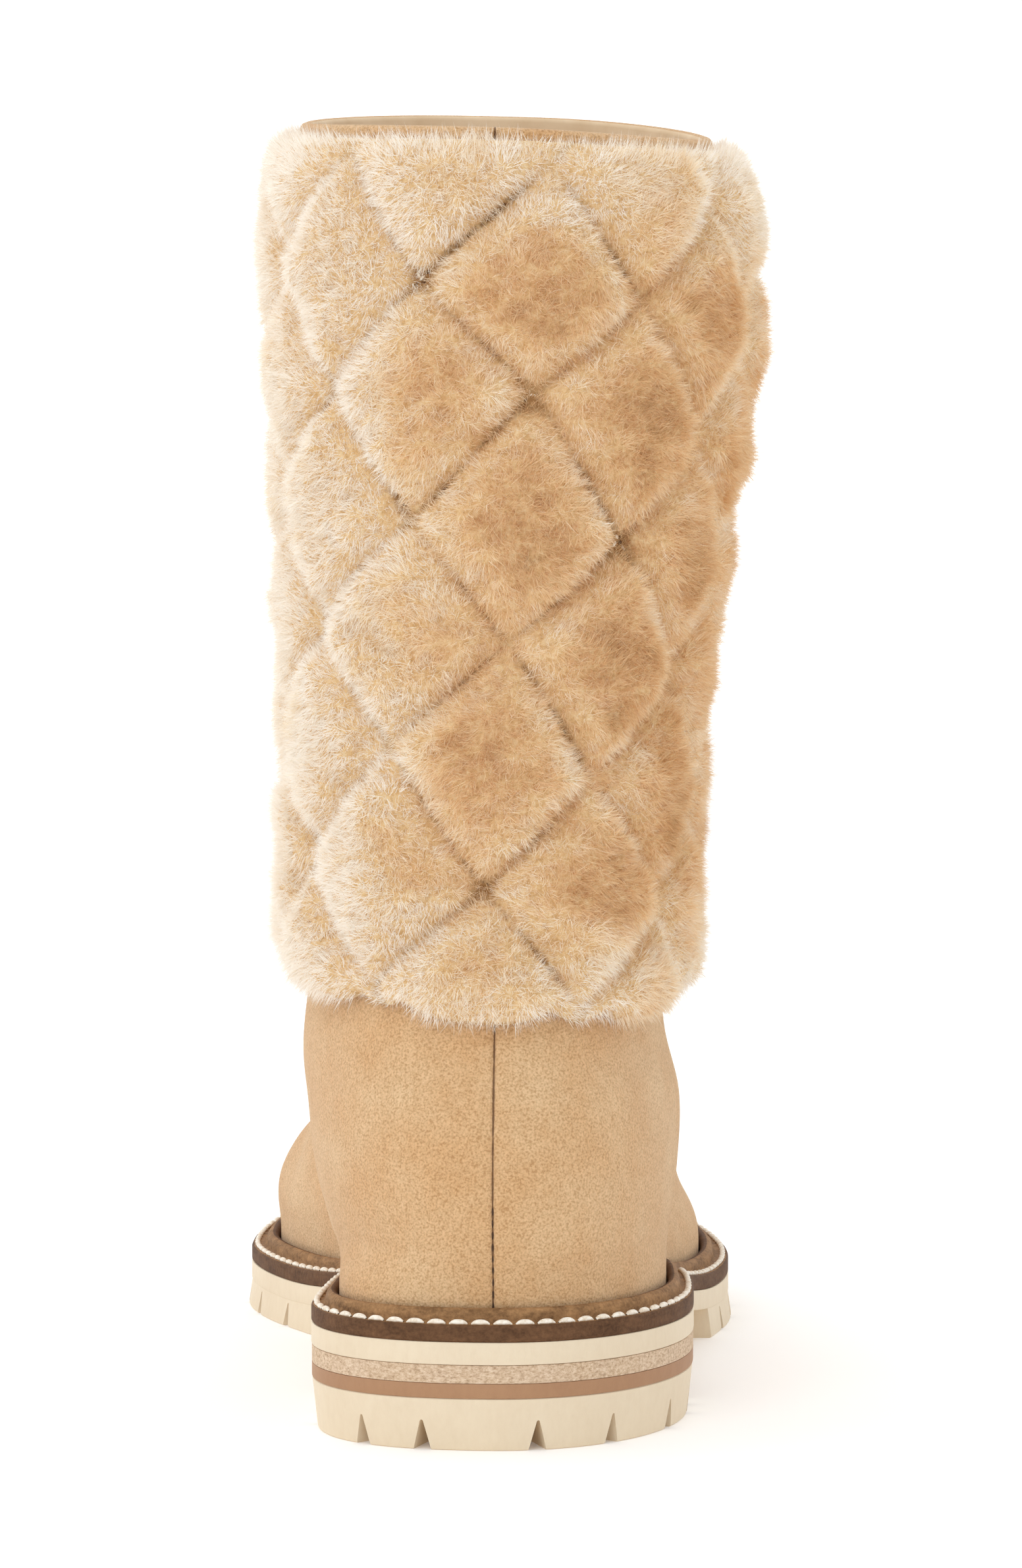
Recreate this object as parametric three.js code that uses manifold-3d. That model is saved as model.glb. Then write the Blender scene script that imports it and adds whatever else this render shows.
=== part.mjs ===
// A right-foot winter boot: suede upper, quilted sheepskin cuff round the shaft, stitched storm welt,
// and a light rubber lug sole with a stacked heel.
// Millimetres. The floor is z = 0. The origin is the middle of the heel, on the floor.
// +Z is up, -Y points to the toe, and +X is the medial side, where the big toe is.
//
// Every shape is worked out in the last's own coordinates:
//   along   distance from the back of the heel towards the toe
//   across  distance from the heel's axis, positive towards the lateral (outer) side
//   z       height above the floor
import * as THREE from 'three';
import { mergeVertices } from 'three/addons/utils/BufferGeometryUtils.js';
import Module from 'manifold-3d';

const wasm = await Module();
wasm.setup();

// ---------------------------------------------------------------- driving dimensions

const SOLE_LENGTH = 278;
// The sole's round back: how far forward it reaches on each side, and its power. The outer side is longer.
const HEEL_ROUND = { lateral: { reach: 50, power: 2 }, medial: { reach: 36.5, power: 2.4 } };
const TOE_ROUND_FROM = 203; // where the sole's outline starts to close towards the toe
const TOE_POWER = 2.2; // 2 is an ellipse, and more is squarer
const HEEL_MIDDLE = 30; // the origin's distance from the back of the heel

const LATERAL = 1; // the outer side
const MEDIAL = -1; // the inner side

const GAP = 0.3; // between pieces that meet
const LOOP_POINTS = 48; // corners in each ring of the upper and the cuff
const SOLE_POINTS = 84; // corners in each ring of the sole

// The sole seen from above: half its width, and how far its middle swings to the medial side.
const SOLE_PLAN = [
  { along: 0, half: 36, swing: 0 },
  { along: 36, half: 36, swing: 0 },
  { along: 60, half: 35.6, swing: -0.4 },
  { along: 90, half: 33.4, swing: -0.8 },
  { along: 115, half: 32.9, swing: -0.7 },
  { along: 135, half: 36.2, swing: 1.6 },
  { along: 155, half: 43.2, swing: 5 },
  { along: 175, half: 49.3, swing: 8.3 },
  { along: 195, half: 52.4, swing: 11.2 },
  { along: 215, half: 52.8, swing: 13.1 },
  { along: 240, half: 52.9, swing: 15.2 },
  { along: 278, half: 53.1, swing: 18 },
];

// Heights of the sole's layers.
const FOREFOOT_TOP = 9.9; // rubber under the ball of the foot
const HEEL_TOP = 20.1; // rubber and lifts under the heel
const RAMP = { from: 66, to: 166 }; // the arch, between those two heights
const RUNNER_THICK = 4.2; // the rubber layer that runs the whole length
const LEATHER_LIFT = { bottom: 12.6, top: 15.6 };
const BROWN_LIFT = { bottom: 10.0, top: 12.3 };
const HEEL_BLOCK_TOP = 9.7;
const HEEL_BREAST = 64; // where the heel stack ends, on its middle line
const BREAST_HOLLOW = 3; // and how much further forward it ends at its sides
const TREAD_START = { lateral: 155, medial: 143 }; // the back edge of the forefoot tread
const TOE_SPRING = { from: 206, rise: 7 };
const SIDE_TAPER = { heel: 1.3, forefoot: -0.6 }; // how much narrower the tread is at the floor, each side
const FLOOR_BEVEL = 0.9;
const TREAD_INSET = 0.2; // the tread's upper edge, in from the runner's
const RUNNER_BITE = 0.4; // the tread and the runner are one moulding

// Storm welt: a stitched flange with a bead standing against the upper.
const WELT_THICK = 3.2;
const BEAD_HEIGHT = 5.9;
const WELT_WIDTH = { heel: 5.2, forefoot: 6.4 };

const UPPER_WALL = 2.4; // suede and its lining
const INSOLE_THICK = 4;

// The ridge of the vamp: its height above the floor at each distance from the heel.
const RIDGE = [
  { along: 100, height: 150 },
  { along: 112, height: 122 },
  { along: 120, height: 104 },
  { along: 128, height: 92 },
  { along: 136, height: 83 },
  { along: 146, height: 74.5 },
  { along: 160, height: 66.4 },
  { along: 175, height: 60.6 },
  { along: 190, height: 56.4 },
  { along: 205, height: 53.2 },
  { along: 220, height: 50.8 },
  { along: 235, height: 49 },
  { along: 252, height: 47.2 },
  { along: 272, height: 45.4 },
];
const TOE_BOX = { from: 232, power: 3 }; // where the toe box starts to round over
const VAMP_CREST = 2.8; // power of the vamp's cross-section: more is a boxier side wall
const CREST_LEAN = 3.6; // the vamp's ridge leans to the medial side by this much

// The shaft, outside, as level rings: how far back and forward it reaches, and half-widths to each side.
const SHAFT = [
  { level: 14, back: 6.2, front: 100, lateral: 31, medial: 31 },
  { level: 30, back: 4.6, front: 112, lateral: 30.8, medial: 32.4 },
  { level: 46, back: 3.6, front: 121, lateral: 32.8, medial: 37 },
  { level: 60, back: 5.4, front: 127, lateral: 33.2, medial: 39.4 },
  { level: 72, back: 8.8, front: 130, lateral: 30.2, medial: 40.2 },
  { level: 92, back: 12.4, front: 129, lateral: 28.4, medial: 38 },
  { level: 115, back: 13.4, front: 126, lateral: 28.2, medial: 36.8 },
  { level: 145, back: 13, front: 125, lateral: 30.4, medial: 37 },
  { level: 165, back: 12.6, front: 125.5, lateral: 33.2, medial: 37.2 },
  { level: 185, back: 12.2, front: 126, lateral: 36.8, medial: 38.2 },
  { level: 205, back: 12, front: 127, lateral: 39.4, medial: 39.6 },
  { level: 225, back: 11.8, front: 127.5, lateral: 40, medial: 40 },
  { level: 260, back: 11.8, front: 128, lateral: 38.4, medial: 41.2 },
];
const SHAFT_POWER = 2.25; // 2 is an ellipse
// The collar's height, and how much it stands higher on the medial side than on its middle line.
const RIM = { back: 243.2, front: 255.8, bow: 1.4, medialRise: 1.8 };

// Levels of the upper's lower rings, measured over the forefoot.
const FOOT_LEVELS = [10.2, 13.2, 16.6, 21, 26, 31, 36, 40, 43.5, 46.5, 49.5, 53, 58, 64, 71, 78, 83.5, 89];
const SHAFT_LEVELS = [95, 103, 122, 144, 166, 190, 214, 232];
const FEATHER_RISE = 6.6; // the upper's wall stands straight this far up, behind the welt's bead
const FEATHER_BLEND = 13; // and leaves the featherline over this height
const ANKLE_TO_VAMP = { from: 62, to: 132 }; // distances along the foot
const FOOT_TO_SHAFT = { from: 72, to: 98 }; // heights

// Quilted sheepskin cuff.
const CUFF_HEM = { back: 78.6, front: 89, medialRise: 3 };
const CUFF_BELOW_RIM = 2.8;
const CUFF_ROWS = 20;
const CUFF_CLEARANCE = 1; // from the shaft to the back of the sheepskin
const PILE = 9; // sheepskin at the crown of a diamond
const PILE_AT_EDGE = 4; // sheepskin at the hem and at the top, where the pile rounds over
const CUFF_SHOULDER = 0.06; // share of the cuff's height that rounds over, at each end
const QUILT_DEPTH = 4.6;
// Two families of seams: the slope of each in degrees, and the distance from one seam to the next.
const QUILT_SEAMS = [
  { slope: -55.5, spacing: 28.2 },
  { slope: 44.3, spacing: 28.9 },
];
const QUILT_CROSSING = { around: 5.7, z: 191.7 }; // where two seams cross, near the middle of the back

// ---------------------------------------------------------------- small helpers

const clamp01 = (value) => Math.min(1, Math.max(0, value));
const mix = (a, b, share) => a + (b - a) * share;
const ease = (value, from, to) => {
  const share = clamp01((value - from) / (to - from));
  return share * share * (3 - 2 * share);
};

// The table's row at a place between its rows, every column on a smooth cubic.
function rowAt(table, key, place) {
  const last = table.length - 1;
  const x = Math.min(table[last][key], Math.max(table[0][key], place));
  let i = 0;
  while (i < last - 1 && table[i + 1][key] < x) i += 1;
  const span = table[i + 1][key] - table[i][key];
  const t = (x - table[i][key]) / span;
  const slope = (column, k) => {
    const before = table[Math.max(0, k - 1)];
    const after = table[Math.min(last, k + 1)];
    return (after[column] - before[column]) / (after[key] - before[key]);
  };
  const row = {};
  for (const column of Object.keys(table[0])) {
    row[column] =
      table[i][column] * (1 + 2 * t) * (1 - t) ** 2 +
      table[i + 1][column] * t * t * (3 - 2 * t) +
      slope(column, i) * span * t * (1 - t) ** 2 -
      slope(column, i + 1) * span * t * t * (1 - t);
  }
  return row;
}

// From the last's coordinates to the part's frame.
const place = (p) => [-p.across, HEEL_MIDDLE - p.along, p.z];

// Ring corners go from the back of the heel round the lateral side to the toe, and back on the medial side.
function ringPlaces(count) {
  return Array.from({ length: count }, (_, i) => {
    const turn = i / count;
    const lateral = turn <= 0.5;
    return { share: lateral ? 2 * turn : 2 - 2 * turn, side: lateral ? 1 : -1 };
  });
}
// Closer together at both ends, where the outline is round.
const forward = (share) => (1 - Math.cos(Math.PI * share)) / 2;

// ---------------------------------------------------------------- the sole's plan and heights

// Half of a rounded oval's width, from 1 in its middle to 0 at its end.
const oval = (fromMiddle, power) => Math.max(0, 1 - Math.abs(fromMiddle) ** power) ** (1 / power);

function solePoint(along, side) {
  const plan = rowAt(SOLE_PLAN, 'along', along);
  const { reach, power } = side > 0 ? HEEL_ROUND.lateral : HEEL_ROUND.medial;
  const heel = oval(clamp01((reach - along) / reach), power);
  const toe = oval(clamp01((along - TOE_ROUND_FROM) / (SOLE_LENGTH - TOE_ROUND_FROM)), TOE_POWER);
  return { along, across: side * plan.half * heel * toe - plan.swing };
}

// The sole's outline, moved in from the edge by inset(along).
function soleLoop(inset, count = SOLE_POINTS) {
  const edge = ringPlaces(count).map(({ share, side }) => solePoint(SOLE_LENGTH * forward(share), side));
  return edge.map((p, i) => {
    const before = edge[(i + count - 1) % count];
    const after = edge[(i + 1) % count];
    const run = Math.hypot(after.along - before.along, after.across - before.across);
    const depth = inset(p.along);
    return {
      along: p.along + (depth * (after.across - before.across)) / run,
      across: p.across - (depth * (after.along - before.along)) / run,
    };
  });
}

const toeSpring = (along) =>
  TOE_SPRING.rise * clamp01((along - TOE_SPRING.from) / (SOLE_LENGTH - TOE_SPRING.from)) ** 2;
const rampTop = (along) => mix(HEEL_TOP, FOREFOOT_TOP, ease(along, RAMP.from, RAMP.to));
const soleTop = (along) => rampTop(along) + toeSpring(along);
const weltWidth = (along) => mix(WELT_WIDTH.heel, WELT_WIDTH.forefoot, ease(along, 40, 170));

// ---------------------------------------------------------------- solids

// Rings of equal length become a skin: rings[k][i] joins rings[k + 1][i]. A tube closes from its last ring to
// its first. Otherwise its two end rings are capped by strips from side to side.
function loft(rings, closesOnItself) {
  const count = rings[0].length;
  const corners = rings.flat().map((p) => new THREE.Vector3(...place(p)));
  const index = [];
  const at = (ring, i) => (ring % rings.length) * count + ((i + count) % count);
  // Two triangles, split along the shorter diagonal.
  const addQuad = (a, b, c, d) => {
    if (corners[a].distanceTo(corners[c]) <= corners[b].distanceTo(corners[d])) index.push(a, b, c, a, c, d);
    else index.push(a, b, d, b, c, d);
  };
  const joins = closesOnItself ? rings.length : rings.length - 1;
  for (let ring = 0; ring < joins; ring += 1) {
    for (let i = 0; i < count; i += 1) {
      addQuad(at(ring, i), at(ring, i + 1), at(ring + 1, i + 1), at(ring + 1, i));
    }
  }
  if (!closesOnItself) {
    const top = rings.length - 1;
    for (let i = 0; i < count / 2; i += 1) {
      const [a, b, c, d] = [i, i + 1, -i - 1, -i];
      if (i > 0) index.push(at(0, a), at(0, d), at(0, b), at(top, a), at(top, b), at(top, d));
      if (i < count / 2 - 1) index.push(at(0, b), at(0, d), at(0, c), at(top, b), at(top, c), at(top, d));
    }
  }
  const geometry = new THREE.BufferGeometry();
  const positions = corners.flatMap((corner) => corner.toArray());
  geometry.setAttribute('position', new THREE.Float32BufferAttribute(positions, 3));
  geometry.setIndex(index);
  return geometry;
}

function solid(geometry) {
  const bare = geometry.clone();
  bare.deleteAttribute('normal');
  bare.deleteAttribute('uv');
  const merged = mergeVertices(bare, 1e-4);
  return new wasm.Manifold(
    new wasm.Mesh({
      numProp: 3,
      vertProperties: merged.attributes.position.array,
      triVerts: new Uint32Array(merged.index.array),
    }),
  );
}

function fromSolid(made) {
  const { vertProperties, triVerts } = made.getMesh();
  const geometry = new THREE.BufferGeometry();
  geometry.setAttribute('position', new THREE.BufferAttribute(vertProperties, 3));
  geometry.setIndex(new THREE.BufferAttribute(triVerts, 1));
  return geometry;
}

// A straight-sided block standing on a plan drawn in the last's coordinates, between two heights.
function block(plan, bottom, top) {
  const corners = plan.map(([along, across]) => new THREE.Vector2(-across, HEEL_MIDDLE - along));
  const shape = new THREE.Shape(corners);
  const geometry = new THREE.ExtrudeGeometry(shape, { depth: top - bottom, bevelEnabled: false });
  return solid(geometry.translate(0, 0, bottom));
}

// The sole's outline at a height that is a function of along, moved in from the edge by inset.
const soleRing = (inset, height) =>
  soleLoop(typeof inset === 'function' ? inset : () => inset).map((p) => ({ ...p, z: height(p.along) }));

// A layer of the sole between two heights.
const layer = (bottom, top, inset) => loft([soleRing(inset, bottom), soleRing(inset, top)], false);

// ---------------------------------------------------------------- outsole and heel

// The tread block's side: a bevel at the floor, then a slight slope to the runner above it. The heel narrows
// towards the floor, and the forefoot spreads a little.
function treadBody(top) {
  const taper = (along) => mix(SIDE_TAPER.heel, SIDE_TAPER.forefoot, ease(along, 90, 150));
  const rings = [
    soleRing((along) => taper(along) + FLOOR_BEVEL, toeSpring),
    soleRing(taper, (along) => toeSpring(along) + FLOOR_BEVEL),
    soleRing(TREAD_INSET, top),
  ];
  return solid(loft(rings, false));
}

// A groove that opens at the sole's edge: a wedge, wide at the floor and narrow at its top, running inwards.
function edgeNotch({ along, across, heading, width, height, base = 0 }) {
  const REACH = 11;
  const OUTSIDE = 6;
  const wedge = new THREE.Shape([
    new THREE.Vector2(-width / 2, -1),
    new THREE.Vector2(width / 2, -1),
    new THREE.Vector2(width / 2 - 0.1, 0),
    new THREE.Vector2(width / 5, height),
    new THREE.Vector2(-width / 5, height),
    new THREE.Vector2(-width / 2 + 0.1, 0),
  ]);
  const geometry = new THREE.ExtrudeGeometry(wedge, { depth: REACH + OUTSIDE, bevelEnabled: false });
  geometry.rotateX(Math.PI / 2); // the wedge stands up and runs along -Y
  geometry.translate(0, OUTSIDE, 0);
  geometry.rotateZ(heading);
  const [x, y] = place({ along, across, z: 0 });
  return solid(geometry.translate(x, y, base));
}

// The point of the sole's outline on one side, and the way out of the sole there, as a turn about +Z from +Y.
function edgeAt(along, side) {
  const [before, after] = [solePoint(along - 0.5, side), solePoint(along + 0.5, side)];
  const heading = Math.atan2(after.along - before.along, (after.across - before.across) * side);
  return { ...solePoint(along, side), heading: side * heading };
}

// The heel's notches, by their distance from the back of the heel.
const HEEL_NOTCHES = [
  { side: LATERAL, along: 1.5, width: 3.4 },
  { side: LATERAL, along: 11, width: 3.4 },
  { side: LATERAL, along: 29.5, width: 3.4 },
  { side: MEDIAL, along: 1.4, width: 3.4 },
  { side: MEDIAL, along: 7.3, width: 3.4 },
  { side: MEDIAL, along: 31, width: 2.6 },
  ...[LATERAL, MEDIAL].flatMap((side) => [48, 59].map((along) => ({ side, along, width: 2.6 }))),
];
const FOREFOOT_NOTCHES = [165, 184, 203, 222, 240, 256];
const NOTCH_HEIGHT = 5.6;
const FOREFOOT_NOTCH_HEIGHT = 5;

const heelNotches = () =>
  HEEL_NOTCHES.map(({ side, along, width }) =>
    edgeNotch({ ...edgeAt(along, side), width, height: NOTCH_HEIGHT }),
  );

const forefootNotches = () =>
  FOREFOOT_NOTCHES.flatMap((along) =>
    [LATERAL, MEDIAL].map((side) =>
      edgeNotch({
        ...edgeAt(along, side),
        width: 3,
        height: FOREFOOT_NOTCH_HEIGHT,
        base: toeSpring(along),
      }),
    ),
  );

const WIDE = 90; // past the sole's widest place

const BELOW = -5; // under the floor
const ABOVE = 40; // over the sole

// Where the heel stands: everything behind its breast, which is slightly hollow.
function heelArea() {
  const ends = HEEL_BREAST + BREAST_HOLLOW;
  return block([[BELOW, -WIDE], [BELOW, WIDE], [ends, WIDE], [HEEL_BREAST, 0], [ends, -WIDE]], BELOW, ABOVE);
}
// Where the forefoot's tread is: everything ahead of its back edge, which slants across the sole.
function treadArea() {
  const ahead = SOLE_LENGTH + WIDE;
  const [lateral, medial] = [TREAD_START.lateral, TREAD_START.medial];
  return block([[lateral, WIDE], [ahead, WIDE], [ahead, -WIDE], [medial, -WIDE]], BELOW, ABOVE);
}

function outsole() {
  const runnerBottom = (along) => soleTop(along) - RUNNER_THICK;
  const runner = solid(layer(runnerBottom, soleTop, 0));
  let tread = treadBody((along) => runnerBottom(along) + RUNNER_BITE).intersect(treadArea());
  for (const notch of forefootNotches()) tread = tread.subtract(notch);
  return fromSolid(runner.add(tread));
}

const LIFT_INSET = 0.25; // the lifts sit this far in from the rubber's edge

const lift = ({ bottom, top }) =>
  fromSolid(solid(layer(() => bottom, () => top, LIFT_INSET)).intersect(heelArea()));

function heelBlock() {
  let made = treadBody(() => HEEL_BLOCK_TOP).intersect(heelArea());
  for (const notch of heelNotches()) made = made.subtract(notch);
  return fromSolid(made);
}

// ---------------------------------------------------------------- welt

// The welt's section, from its outer bottom corner: share of the welt's width inwards, and height.
const WELT_SECTION = [
  { inward: 0, rise: GAP },
  { inward: 0, rise: WELT_THICK - 0.5 },
  { inward: 0.08, rise: WELT_THICK },
  { inward: 0.5, rise: WELT_THICK + 0.1 },
  { inward: 0.6, rise: BEAD_HEIGHT - 1.1 },
  { inward: 0.76, rise: BEAD_HEIGHT },
  { inward: 0.96, rise: BEAD_HEIGHT - 0.3 },
  { inward: 0.96, rise: GAP },
];

function welt() {
  const rings = WELT_SECTION.map(({ inward, rise }) =>
    soleLoop((along) => inward * (weltWidth(along) - GAP)).map((p) => ({ ...p, z: soleTop(p.along) + rise })),
  );
  return loft(rings, true);
}

// ---------------------------------------------------------------- upper

const featherInset = (along) => weltWidth(along) + 0.1;

// The height of the vamp's ridge, with the toe box rounded over.
function ridge(along) {
  const end = SOLE_LENGTH - featherInset(SOLE_LENGTH);
  const height = rowAt(RIDGE, 'along', along).height;
  const base = soleTop(along);
  const past = clamp01((along - TOE_BOX.from) / (end - TOE_BOX.from));
  return base + (height - base) * (1 - past ** TOE_BOX.power) ** (1 / TOE_BOX.power);
}

// Lower rings follow the sole's own rise under the heel and at the toe, and higher rings are level.
const levelAt = (level, along) =>
  level + (soleTop(along) - FOREFOOT_TOP) * (1 - ease(level, FOREFOOT_TOP + FEATHER_RISE, 50));

// How far forward a ring reaches: where the ridge comes down to it.
const frontMemo = new Map();
function ringFront(level) {
  if (!frontMemo.has(level)) {
    let [near, far] = [100, SOLE_LENGTH - featherInset(SOLE_LENGTH)];
    for (let step = 0; step < 40; step += 1) {
      const middle = (near + far) / 2;
      if (ridge(middle) > levelAt(level, middle)) near = middle;
      else far = middle;
    }
    frontMemo.set(level, (near + far) / 2);
  }
  return frontMemo.get(level);
}

// The shaft's skin at a level.
function shaftPoint({ share, side }, level) {
  const row = rowAt(SHAFT, 'level', level);
  const along = mix(row.back, row.front, forward(share));
  const half = side > 0 ? row.lateral : row.medial;
  return { along, across: side * half * oval(2 * forward(share) - 1, SHAFT_POWER), z: level };
}

// The foot's skin at a level: heel and ankle behind, vamp ahead.
function footPoint({ share, side }, level) {
  const { back } = rowAt(SHAFT, 'level', levelAt(level, 0));
  const along = mix(back, ringFront(level), forward(share));
  const z = levelAt(level, along);
  const plan = rowAt(SOLE_PLAN, 'along', along);
  const toeEnd = SOLE_LENGTH - featherInset(SOLE_LENGTH);
  const toe = oval(clamp01((along - TOE_ROUND_FROM) / (toeEnd - TOE_ROUND_FROM)), TOE_POWER);
  const rise = clamp01((z - soleTop(along)) / Math.max(1e-6, ridge(along) - soleTop(along)));
  const vampHalf = (plan.half - featherInset(along)) * toe * Math.sqrt(1 - rise ** VAMP_CREST);
  const vamp = side * vampHalf - plan.swing - CREST_LEAN * Math.sqrt(rise) * ease(along, 110, 150);
  const row = rowAt(SHAFT, 'level', z);
  const half = side > 0 ? row.lateral : row.medial;
  const middle = (row.front + row.back) / 2;
  const ankle = side * half * oval(clamp01((middle - along) / (middle - row.back)), SHAFT_POWER);
  return { along, across: mix(ankle, vamp, ease(along, ANKLE_TO_VAMP.from, ANKLE_TO_VAMP.to)), z };
}

// The boot's outer skin: the foot below the ankle, and the shaft above it.
function skinPoint(ringPlace, level) {
  const foot = footPoint(ringPlace, level);
  const shaft = shaftPoint(ringPlace, level);
  const up = ease(level, FOOT_TO_SHAFT.from, FOOT_TO_SHAFT.to);
  return {
    along: mix(foot.along, shaft.along, up),
    across: mix(foot.across, shaft.across, up),
    z: mix(foot.z, level, up),
  };
}

// A ring of the skin, with its height as a function of the ring place.
const skinRing = (heightAt) => ringPlaces(LOOP_POINTS).map((p) => skinPoint(p, heightAt(p)));

// A ring of the foot, which is drawn in to the featherline where it stands behind the welt.
function footRing(level) {
  const feather = soleLoop(featherInset, LOOP_POINTS);
  const leave = ease(level, FOREFOOT_TOP + FEATHER_RISE, FOREFOOT_TOP + FEATHER_RISE + FEATHER_BLEND);
  return skinRing(() => level).map((p, i) => ({
    along: mix(feather[i].along, p.along, leave),
    across: mix(feather[i].across, p.across, leave),
    z: mix(levelAt(level, feather[i].along), p.z, leave),
  }));
}

// Moves each corner of the rings along the skin's own normal, outwards if distance is positive.
function thicken(rings, distance) {
  const at = (k, i) => rings[k][(i + rings[k].length) % rings[k].length];
  return rings.map((ring, k) =>
    ring.map((p, i) => {
      const below = at(Math.max(0, k - 1), i);
      const above = at(Math.min(rings.length - 1, k + 1), i);
      const round = new THREE.Vector3(
        at(k, i + 1).along - at(k, i - 1).along,
        at(k, i + 1).across - at(k, i - 1).across,
        at(k, i + 1).z - at(k, i - 1).z,
      );
      const up = new THREE.Vector3(above.along - below.along, above.across - below.across, above.z - below.z);
      const normal = up.cross(round).normalize();
      if (k === 0 || k === rings.length - 1) normal.setZ(0).normalize();
      const step = typeof distance === 'function' ? distance(p, k, i) : distance;
      return {
        along: p.along + normal.x * step,
        across: p.across + normal.y * step,
        z: p.z + normal.z * step,
      };
    }),
  );
}

const rimHeight = ({ share, side }) =>
  mix(RIM.back, RIM.front, forward(share) ** RIM.bow) - side * RIM.medialRise * Math.sin(Math.PI * share);

// A ring above the ankle, tilted by and by to the collar's own slope.
function shaftRing(level) {
  const tilt = ease(level, SHAFT_LEVELS[0], RIM.back);
  return skinRing((p) => level + (rimHeight(p) - RIM.back) * tilt);
}

function upper() {
  const outside = [...FOOT_LEVELS.map(footRing), ...SHAFT_LEVELS.map(shaftRing), skinRing(rimHeight)];
  const inside = thicken(outside, -UPPER_WALL);
  const last = inside.length - 1;
  const fewer = inside.filter((_, k) => k % 2 === 0 || k === last);
  return loft([...outside, ...fewer.reverse()], true);
}

// ---------------------------------------------------------------- insole

function insole() {
  const inset = (along) => featherInset(along) + UPPER_WALL + GAP;
  const ring = (rise, extra) =>
    soleLoop((along) => inset(along) + extra, LOOP_POINTS).map((p) => ({ ...p, z: soleTop(p.along) + rise }));
  return loft([ring(GAP, 0), ring(INSOLE_THICK - 1, 0), ring(INSOLE_THICK, 1)], false);
}

// ---------------------------------------------------------------- sheepskin cuff

// How deep the pile stands at a place: 0 in a seam, 1 on the crown of a diamond.
function quiltCrown(around, z) {
  const [first, second] = QUILT_SEAMS.map(({ slope, spacing }) => {
    const turn = THREE.MathUtils.degToRad(slope);
    const fromSeam = (z - QUILT_CROSSING.z) * Math.cos(turn) - (around - QUILT_CROSSING.around) * Math.sin(turn);
    return Math.abs(Math.sin((Math.PI * fromSeam) / spacing));
  });
  return (first * second) ** 0.4;
}

// Each corner's distance round the shaft from the middle of the back, positive on the lateral side.
function distancesRound(ring) {
  const half = ring.length / 2;
  const step = (a, b) => Math.hypot(b.along - a.along, b.across - a.across);
  const lateral = [0];
  const medial = [0];
  for (let i = 1; i <= half; i += 1) {
    const [behind, ahead] = [(ring.length - i + 1) % ring.length, ring.length - i];
    lateral.push(lateral[i - 1] + step(ring[i - 1], ring[i]));
    medial.push(medial[i - 1] + step(ring[behind], ring[ahead]));
  }
  return ring.map((_, i) => (i <= half ? lateral[i] : -medial[ring.length - i]));
}

function cuff() {
  const shares = Array.from({ length: CUFF_ROWS + 1 }, (_, k) => k / CUFF_ROWS);
  const hemHeight = ({ share, side }) =>
    mix(CUFF_HEM.back, CUFF_HEM.front, forward(share)) - side * CUFF_HEM.medialRise * Math.sin(Math.PI * share);
  const topHeight = (p) => rimHeight(p) - CUFF_BELOW_RIM;
  const skin = shares.map((share) => skinRing((p) => mix(hemHeight(p), topHeight(p), share)));
  const around = skin.map(distancesRound);
  const inner = thicken(skin, CUFF_CLEARANCE).filter((_, k) => k % 2 === 0);
  const outer = thicken(skin, (p, k, i) => {
    const fromEnd = clamp01(Math.min(shares[k], 1 - shares[k]) / CUFF_SHOULDER);
    const roundOver = Math.sqrt(1 - (1 - fromEnd) ** 2);
    const crown = quiltCrown(around[k][i], p.z);
    return CUFF_CLEARANCE + mix(PILE_AT_EDGE, PILE - QUILT_DEPTH * (1 - crown), roundOver);
  });
  return loft([...outer, ...inner.reverse()], true);
}

// ---------------------------------------------------------------- assembly

const material = (color, roughness) => new THREE.MeshStandardMaterial({ color, roughness, metalness: 0 });
const rubber = material(0xe9d9b8, 0.6);
const suede = material(0xd6b183, 0.95);
const sheepskin = material(0xe3c79c, 1);
const brownLeather = material(0x6f5340, 0.55);
const leatherboard = material(0xd3b594, 0.8);
const brownRubber = material(0xb58c66, 0.6);
const sockLeather = material(0xdcc09a, 0.85);

const boot = new THREE.Group();
function addPiece(name, geometry, surface) {
  const mesh = new THREE.Mesh(geometry, surface);
  mesh.name = name;
  boot.add(mesh);
}

addPiece('outsole', outsole(), rubber);
addPiece('heel_block', heelBlock(), rubber);
addPiece('heel_lift_brown', lift(BROWN_LIFT), brownRubber);
addPiece('heel_lift_leatherboard', lift(LEATHER_LIFT), leatherboard);
addPiece('welt', welt(), brownLeather);
addPiece('insole', insole(), sockLeather);
addPiece('upper', upper(), suede);
addPiece('sheepskin_cuff', cuff(), sheepskin);

export default boot;
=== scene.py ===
# %% [markdown]
# # A quilted sheepskin boot
#
# This notebook dresses a winter boot: a suede foot and shaft, a sheepskin cuff quilted in diamonds with the
# pile outside, a brown storm welt with a cream lockstitch, and a light rubber lug sole with a stacked heel.
# The construction model gives every piece its place. Here each piece gets its fine shape and its finish.
#
# The frame: metres, +Z up, the toe towards -Y, and +X on the medial side, where the big toe is.

# %% Load the construction model
import math

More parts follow.
